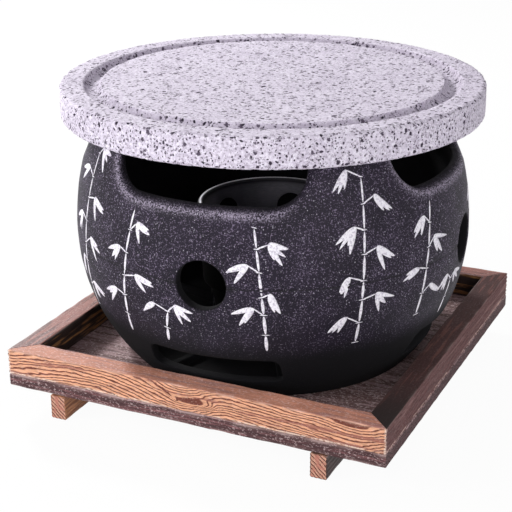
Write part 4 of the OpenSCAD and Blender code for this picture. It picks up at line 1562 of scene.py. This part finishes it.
def nailTree():
    # Head, shank and point as one shell of stacked cone stretches, set on every point
    sizes = ("Length", "Shank", "Head", "HeadThick", "Point")
    group, given, result = newTree("wireNails", dict.fromkeys(sizes, "Float"))
    shank, head = (times(group, given[size], 0.5) for size in ("Shank", "Head"))
    domed = times(group, head, 0.78)
    dome = times(group, given["HeadThick"], 0.35)
    tip = reckon(group, "SUBTRACT", given["Length"], given["Point"])
    blunt = times(group, shank, 0.2)
    outline = ((0.0, 0.0), (domed, 0.0), (head, dome),
               (head, given["HeadThick"]), (shank, given["HeadThick"]),
               (shank, tip), (blunt, given["Length"]), (0.0, given["Length"]))
    parts = addNode(group, "GeometryNodeJoinGeometry")
    for (low, start), (high, end) in zip(outline, outline[1:]):
        size = {"Radius Bottom": low, "Radius Top": high, "Depth": reckon(group, "SUBTRACT", end, start)}
        stretch = fromNode(
            group, "GeometryNodeMeshCone", {"Vertices": nails["sides"], **size}, fill_type="NONE")
        lift = fromNode(group, "ShaderNodeCombineXYZ", {"Z": start})
        placed = fromNode(group, "GeometryNodeTransform", {"Geometry": stretch, "Translation": lift})
        group.links.new(placed, parts.inputs["Geometry"])
    nail = fromNode(group, "GeometryNodeMergeByDistance",
                    {"Geometry": parts.outputs["Geometry"], "Distance": 0.005 * mm})
    spread = fromNode(group, "GeometryNodeInstanceOnPoints", {"Points": given["Geometry"], "Instance": nail})
    finishTree(group, spread, nailFinish, result)
    return group


def makeNailSteel():
    material, tree, surface = newMaterial("nailSteel", 0.35, 1.0)
    dull = noise(tree, objectPoints(tree), 1.2, 3.0)
    colour = mixColours(tree, ease(tree, dull, 0.35, 0.7), *nails["steel"])
    tree.links.new(colour, surface.inputs["Base Color"])
    addBump(tree, surface, dull, 0.02, 0.5)
    return material


nailFinish = makeNailSteel()
railMiddle = tray["half"] - tray["railWidth"] / 2
ends = [(x, y) for x in (-1, 1) for y in (-1, 1)]
frontAndBack = [(x * nails["across"], y * railMiddle, tray["boardBase"]) for x, y in ends]
leftAndRight = [(x * railMiddle, y * nails["along"], tray["boardBase"]) for x, y in ends]
underRunners = [(x, y * nails["runnerEnd"], 0) for x in tray["runnerMiddle"].values() for y in (-1, 0, 1)]
wireNails = nailTree()
for node, places in (("rail_nails", frontAndBack + leftAndRight), ("runner_nails", underRunners)):
    nailGroup = runTree("wire_" + node, pointCloud("nailSeed", places), wireNails, {
        "Length": nails["lengths"][node] * mm, "Shank": nails["shank"] * mm, "Head": nails["head"] * mm,
        "HeadThick": nails["headThick"] * mm, "Point": nails["point"] * mm})
    nailGroup.data.set_sharp_from_angle(angle=math.radians(40))
    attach(nailGroup, "tray")
    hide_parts(node)
print("nails done")


# Camera, as the photograph's fit gives it, and light

studio = {
    "sky": 0.25, "whiteShare": 0.955, "floorReach": 4.0, "aim": (0, 0, 0.08),
    "lamps": {  # place, size and power of each
        "keyLeft": ((-0.85, -0.85, 0.60), (0.5, 0.5), 8.6),
        "backLeft": ((-0.92, 0.60, 0.62), (0.18, 0.18), 14.5),
        "topSoft": ((0.25, 0.15, 1.30), (0.9, 0.9), 1.4),
        "fillRight": ((0.88, -0.74, 0.44), (0.6, 0.6), 4.4),
        "lowFront": ((0.12, -1.20, 0.41), (0.22, 0.22), 1.5),
    },
}
photoView = {
    "place": (0.28232, -0.62089, 0.33219), "yaw": -25.23, "pitch": 21.33, "roll": -0.473, "lens": 94.25,
}


def addCamera():
    yaw, pitch, roll = (math.radians(photoView[key]) for key in ("yaw", "pitch", "roll"))
    ahead = Vector((math.sin(yaw) * math.cos(pitch), math.cos(yaw) * math.cos(pitch), -math.sin(pitch)))
    right = Vector((math.cos(yaw), -math.sin(yaw), 0))
    up = right.cross(ahead)
    across = right * math.cos(roll) + up * math.sin(roll)
    upright = up * math.cos(roll) - right * math.sin(roll)
    turn = Matrix((across, upright, -ahead)).transposed().to_4x4()
    lens = bpy.data.cameras.new("camera")
    lens.lens = photoView["lens"]
    lens.sensor_width = 36
    lens.clip_start = 0.01
    camera = bpy.data.objects.new("camera", lens)
    camera.matrix_world = Matrix.Translation(photoView["place"]) @ turn
    bpy.context.scene.collection.objects.link(camera)
    bpy.context.scene.camera = camera


def addLamp(name, place, target, size, power):
    lamp = bpy.data.lights.new(name, "AREA")
    lamp.shape = "RECTANGLE"
    lamp.size, lamp.size_y = size
    lamp.energy = power
    holder = bpy.data.objects.new(name, lamp)
    holder.location = place
    holder.rotation_euler = (Vector(target) - Vector(place)).to_track_quat("-Z", "Y").to_euler()
    bpy.context.scene.collection.objects.link(holder)


def seenRay(tree):
    # 1 for the rays that show the background to the camera, direct, mirrored or through glass
    rays = addNode(tree, "ShaderNodeLightPath").outputs
    mirrored = reckon(tree, "MAXIMUM", rays["Is Glossy Ray"], rays["Is Transmission Ray"])
    return reckon(tree, "MAXIMUM", rays["Is Camera Ray"], mirrored)


def makePaper():
    # White to the camera, with enough plain paper left in it to carry the object's soft shadow
    material, tree, surface = newMaterial("floorPaper", 0.9)
    surface.inputs["Base Color"].default_value = (0.88, 0.88, 0.88, 1)
    white = fromNode(tree, "ShaderNodeEmission", {"Strength": 1.0})
    share = times(tree, seenRay(tree), studio["whiteShare"])
    blend = fromNode(tree, "ShaderNodeMixShader", {"Fac": share, 1: surface.outputs["BSDF"], 2: white})
    tree.links.new(blend, tree.nodes["Material Output"].inputs["Surface"])
    return material


def addFloor():
    reach = studio["floorReach"]
    corners = [(-reach, -reach, 0), (reach, -reach, 0), (reach, reach, 0), (-reach, reach, 0)]
    mesh = bpy.data.meshes.new("floor")
    mesh.from_pydata(corners, [], [(0, 1, 2, 3)])
    mesh.materials.append(makePaper())
    floor = bpy.data.objects.new("floor", mesh)
    bpy.context.scene.collection.objects.link(floor)


def addLight():
    world = bpy.data.worlds.new("studio")
    bpy.context.scene.world = world
    world.use_nodes = True
    tree = world.node_tree
    strength = fromNode(
        tree, "ShaderNodeMapRange", {"Value": seenRay(tree), "To Min": studio["sky"], "To Max": 1.0})
    tree.links.new(strength, tree.nodes["Background"].inputs["Strength"])
    tree.nodes["Background"].inputs["Color"].default_value = (1, 1, 1, 1)
    for name, (place, size, power) in studio["lamps"].items():
        addLamp(name, place, studio["aim"], size, power)


addCamera()
addFloor()
addLight()
bpy.context.scene.view_settings.view_transform = "Standard"
